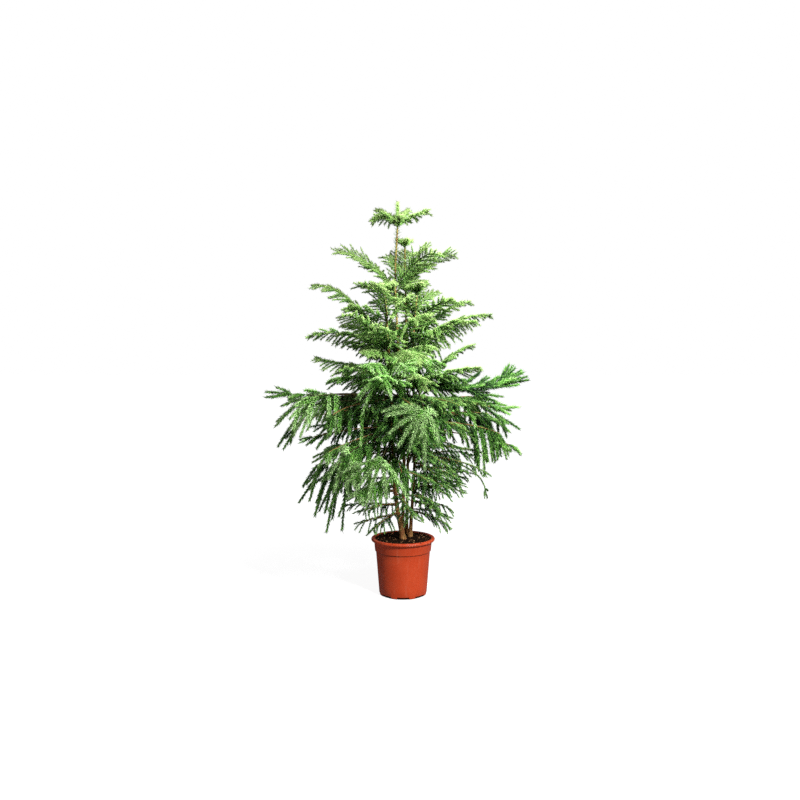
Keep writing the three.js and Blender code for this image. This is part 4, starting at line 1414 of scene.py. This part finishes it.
class PINE_OT_raise_stems(bpy.types.Operator):
    """Raise the four stems out of the soil, with the relief of their bark"""

    bl_idname = "pine.raise_stems"
    bl_label = "Raise Stems"

    def execute(self, context):
        bark = context.scene.pine_bark
        material = bark_material(bark)
        for name in STEM_NAMES:
            stem = self.stem(name)
            self.carve_bark(stem, name, bark.relief)
            smooth_by_angle(stem, SMOOTH_ANGLE)
            settle(stem, material, [f"{name}_stem"])
        return {"FINISHED"}

    def stem(self, name):
        """Stem extruded ring by ring along the packed stem, then cut into finer rings."""
        _, centres, radii = stem_rings(name)
        stem = ringed_piece(f"{name}_bark", list(zip(radii, centres)), BARK_SIDES)
        for edge in stem.data.edges:
            low, high = (stem.data.vertices[corner].co for corner in edge.vertices)
            edge.select = abs(high.z - low.z) > LEVEL_STEP
        bpy.ops.object.mode_set(mode="EDIT")
        bpy.ops.mesh.select_mode(type="EDGE")
        bpy.ops.mesh.subdivide(number_cuts=BARK_CUTS)
        bpy.ops.mesh.select_mode(type="VERT")
        bpy.ops.object.mode_set(mode="OBJECT")
        return stem

    def carve_bark(self, stem, name, relief):
        """Moves the bark in and out in uneven rings and scales."""
        rings = stem_rings(name)
        for corner in stem.data.vertices:
            centre, radius = stem_at(rings, corner.co.z)
            spoke = Vector((corner.co.x - centre[0], corner.co.y - centre[1], 0))
            around = spoke.normalized()
            place = Vector((around.x * RIDGE_TURNS, around.y * RIDGE_TURNS, corner.co.z * RIDGE_STRETCH))
            ridge = noise.fractal(place, RIDGE_ROUGHNESS, NOISE_LACUNARITY, NOISE_OCTAVES)
            place = Vector((around.x * SCALE_TURNS, around.y * SCALE_TURNS, corner.co.z * SCALE_STRETCH))
            scale = noise.noise(place)
            push = relief * (ridge + SCALE_SHARE * scale) * min(1.0, radius / RIB_ROOT_RADIUS / 2)
            corner.co += around * push


class PINE_OT_grow_boughs(bpy.types.Operator):
    """Grow the ribs of the fronds out of the stems"""

    bl_idname = "pine.grow_boughs"
    bl_label = "Grow Boughs"

    def execute(self, context):
        bark = context.scene.pine_bark
        plant = grow_plant(context.scene.pine_foliage)
        limbs = join_limbs([plant.ribs, plant.shoots])
        old = rib_material("old_bough", bark.old_rib, bark.bark)
        young = rib_material("young_bough", bark.young_rib, bark.cracks)
        limb_pieces("boughs", limbs, plant.nodes, old, young, RIB_SIDES, RIB_STEPS, RIB_RELIEF, RIB_SINK)
        return {"FINISHED"}


class PINE_OT_grow_twigs(bpy.types.Operator):
    """Grow the side twigs of every frond"""

    bl_idname = "pine.grow_twigs"
    bl_label = "Grow Twigs"

    def execute(self, context):
        foliage = context.scene.pine_foliage
        plant = grow_plant(foliage)
        old = green_material("old_twig", foliage.shade)
        young = green_material("young_twig", foliage.leaf)
        limb_pieces("twigs", plant.twigs, plant.nodes, old, young, TWIG_SIDES, TWIG_STEPS)
        return {"FINISHED"}


class PINE_OT_grow_needles(bpy.types.Operator):
    """Set needles on twigs, boughs and the upper stems, one piece or more for each green"""

    bl_idname = "pine.grow_needles"
    bl_label = "Grow Needles"

    def execute(self, context):
        foliage = context.scene.pine_foliage
        plant = grow_plant(foliage)
        chance = np.random.default_rng(SEED)
        ribs = pick_limbs(plant.ribs, plant.ribs.age < NEEDLED_RIB_AGE)
        stems = stem_runs(STEM_NEEDLES_ABOVE, len(plant.nodes))
        width, leaders = foliage.young_width, foliage.leader_count
        groups = [
            self.dressed(plant.twigs, foliage, NEEDLE_FIRST, chance),
            self.dressed(ribs, foliage, 0.0, chance),
            self.even(plant.shoots, leaders, LEADER_NEEDLE_LENGTH, width, SHOOT_NEEDLE_LEAN, chance),
            self.even(stems, STEM_NEEDLES_PER_METRE, STEM_NEEDLE_LENGTH, width, STEM_NEEDLE_LEAN, chance),
        ]
        needles = Needles(*(np.concatenate(rows) for rows in zip(*groups)))
        names = plant.nodes + [f"{name}_stem" for name in STEM_NAMES]
        for tone, tone_name in enumerate(TONES):
            self.tone_pieces(needles, tone, tone_name, getattr(foliage, tone_name), names)
        return {"FINISHED"}

    def dressed(self, limbs, foliage, first, chance):
        """Needles whose size and number go with the age of their limb."""
        size = lerp(foliage.young_needle, foliage.old_needle, limbs.age)
        width = lerp(foliage.young_width, foliage.old_width, limbs.age)
        per_metre = lerp(foliage.young_count, foliage.old_count, limbs.age)
        return needles_on(limbs, per_metre, first, size, width, NEEDLE_LEAN, chance)

    def even(self, limbs, per_metre, needle_length, needle_width, leans, chance):
        """Needles of one size all along some limbs."""
        size = np.full(len(limbs.age), needle_length)
        width = np.full(len(size), needle_width)
        return needles_on(limbs, per_metre, 0.0, size, width, leans, chance)

    def tone_pieces(self, needles, tone, tone_name, base, names):
        """Pieces of one green, none with too many triangles."""
        picked = np.flatnonzero(needles.tone == tone)
        parts = max(1, math.ceil(len(picked) * len(NEEDLE_FACES) / PIECE_TRIANGLES))
        material = green_material(f"{tone_name}_needles", base)
        for number, rows in enumerate(np.array_split(picked, parts), 1):
            piece = repeated_piece(f"{tone_name}_needles_{number}", needles.corners[rows], NEEDLE_FACES)
            settle(piece, material, [names[node] for node in np.unique(needles.node[rows])])


class PINE_OT_set_stage(bpy.types.Operator):
    """Set the pale floor, the soft lights and the camera"""

    bl_idname = "pine.set_stage"
    bl_label = "Set Stage"

    def execute(self, context):
        stage = context.scene.pine_stage
        self.floor(stage)
        self.sky(context.scene, stage)
        for name, (size, place) in LIGHTS.items():
            self.light(f"{name}_light", getattr(stage, name), size, place)
        self.camera(context.scene)
        context.scene.view_settings.view_transform = "Standard"
        context.scene.cycles.use_denoising = False
        return {"FINISHED"}

    def floor(self, stage):
        """Wide pale floor, shown a little brighter to the eye than it lights the plant."""
        deselect_all()
        bpy.ops.mesh.primitive_plane_add(size=FLOOR_SIZE)
        floor = bpy.context.object
        floor.name = "floor"
        material, tree, shader = new_material("pale_floor", stage.floor, roughness=0.9, specular=0.1)
        shader.inputs["Emission Color"].default_value = rgba((1, 1, 1))
        seen = tree.nodes.new("ShaderNodeLightPath")
        away = distance_of(tree, object_point(tree))
        haze = ranged(tree, away, FLOOR_NEAR, FLOOR_FAR, to_low=FLOOR_GLOW)
        # Painted shadow: the glow stops short of the pot's foot, so the floor stays dark in a ring there
        # and inside the slots
        clear = ranged(tree, away, BODY_FOOT_RADIUS - FOOT_SHADE, BODY_FOOT_RADIUS)
        glow = product(tree, seen.outputs["Is Camera Ray"], product(tree, haze, clear))
        tree.links.new(glow, shader.inputs["Emission Strength"])
        floor.data.materials.append(material)

    def sky(self, scene, stage):
        """Even white light all round, and a white backdrop."""
        world = bpy.data.worlds.new("studio")
        world.use_nodes = True
        tree = world.node_tree
        seen = tree.nodes.new("ShaderNodeLightPath")
        strength = ranged(tree, seen.outputs["Is Camera Ray"], 0.0, 1.0, to_low=stage.sky)
        ground = tree.nodes["Background"]
        ground.inputs["Color"].default_value = rgba((1, 1, 1))
        tree.links.new(strength, ground.inputs["Strength"])
        scene.world = world

    def light(self, name, power, size, place):
        """Square soft light that faces the middle of the plant."""
        lamp = bpy.data.lights.new(name, "AREA")
        lamp.energy = power
        lamp.size = size
        carrier = bpy.data.objects.new(name, lamp)
        carrier.location = place
        aim = (CAD_BOX[0] + CAD_BOX[1]) / 2 - Vector(place)
        carrier.rotation_euler = aim.to_track_quat("-Z", "Y").to_euler()
        bpy.context.scene.collection.objects.link(carrier)

    def camera(self, scene):
        """Camera that looks at the plant from where the photograph was taken."""
        lens = bpy.data.cameras.new("camera")
        lens.lens = CAMERA_LENS
        carrier = bpy.data.objects.new("camera", lens)
        carrier.location = CAMERA_PLACE
        carrier.rotation_euler = (math.radians(90 - CAMERA_DOWN), 0, 0)
        scene.collection.objects.link(carrier)
        scene.camera = carrier


class PINE_PT_panel(bpy.types.Panel):
    """Panel that lists the pieces in order, with their sizes and colours"""

    bl_idname = "PINE_PT_panel"
    bl_label = "Potted Pine"
    bl_space_type = "VIEW_3D"
    bl_region_type = "UI"
    bl_category = "Pine"

    def draw(self, context):
        for group in SETTINGS:
            settings = getattr(context.scene, group)
            self.layout.label(text=settings.__doc__)
            for name in settings.__annotations__:
                self.layout.prop(settings, name)
        for operator in OPERATORS:
            self.layout.operator(operator.bl_idname)


SETTINGS = {
    "pine_pot": PinePotSettings,
    "pine_bark": PineBarkSettings,
    "pine_foliage": PineFoliageSettings,
    "pine_stage": PineStageSettings,
}
OPERATORS = (
    PINE_OT_make_pot,
    PINE_OT_fill_soil,
    PINE_OT_raise_stems,
    PINE_OT_grow_boughs,
    PINE_OT_grow_twigs,
    PINE_OT_grow_needles,
    PINE_OT_set_stage,
)


def register():
    for item in (*SETTINGS.values(), *OPERATORS, PINE_PT_panel):
        bpy.utils.register_class(item)
    for name, group in SETTINGS.items():
        setattr(bpy.types.Scene, name, PointerProperty(type=group))


def unregister():
    for name in SETTINGS:
        delattr(bpy.types.Scene, name)
    for item in (PINE_PT_panel, *reversed(OPERATORS), *SETTINGS.values()):
        bpy.utils.unregister_class(item)


def main():
    """Makes every piece in order."""
    register()
    bpy.ops.pine.make_pot()
    bpy.ops.pine.fill_soil()
    bpy.ops.pine.raise_stems()
    bpy.ops.pine.grow_boughs()
    bpy.ops.pine.grow_twigs()
    bpy.ops.pine.grow_needles()
    bpy.ops.pine.set_stage()


if __name__ == "__main__":
    main()
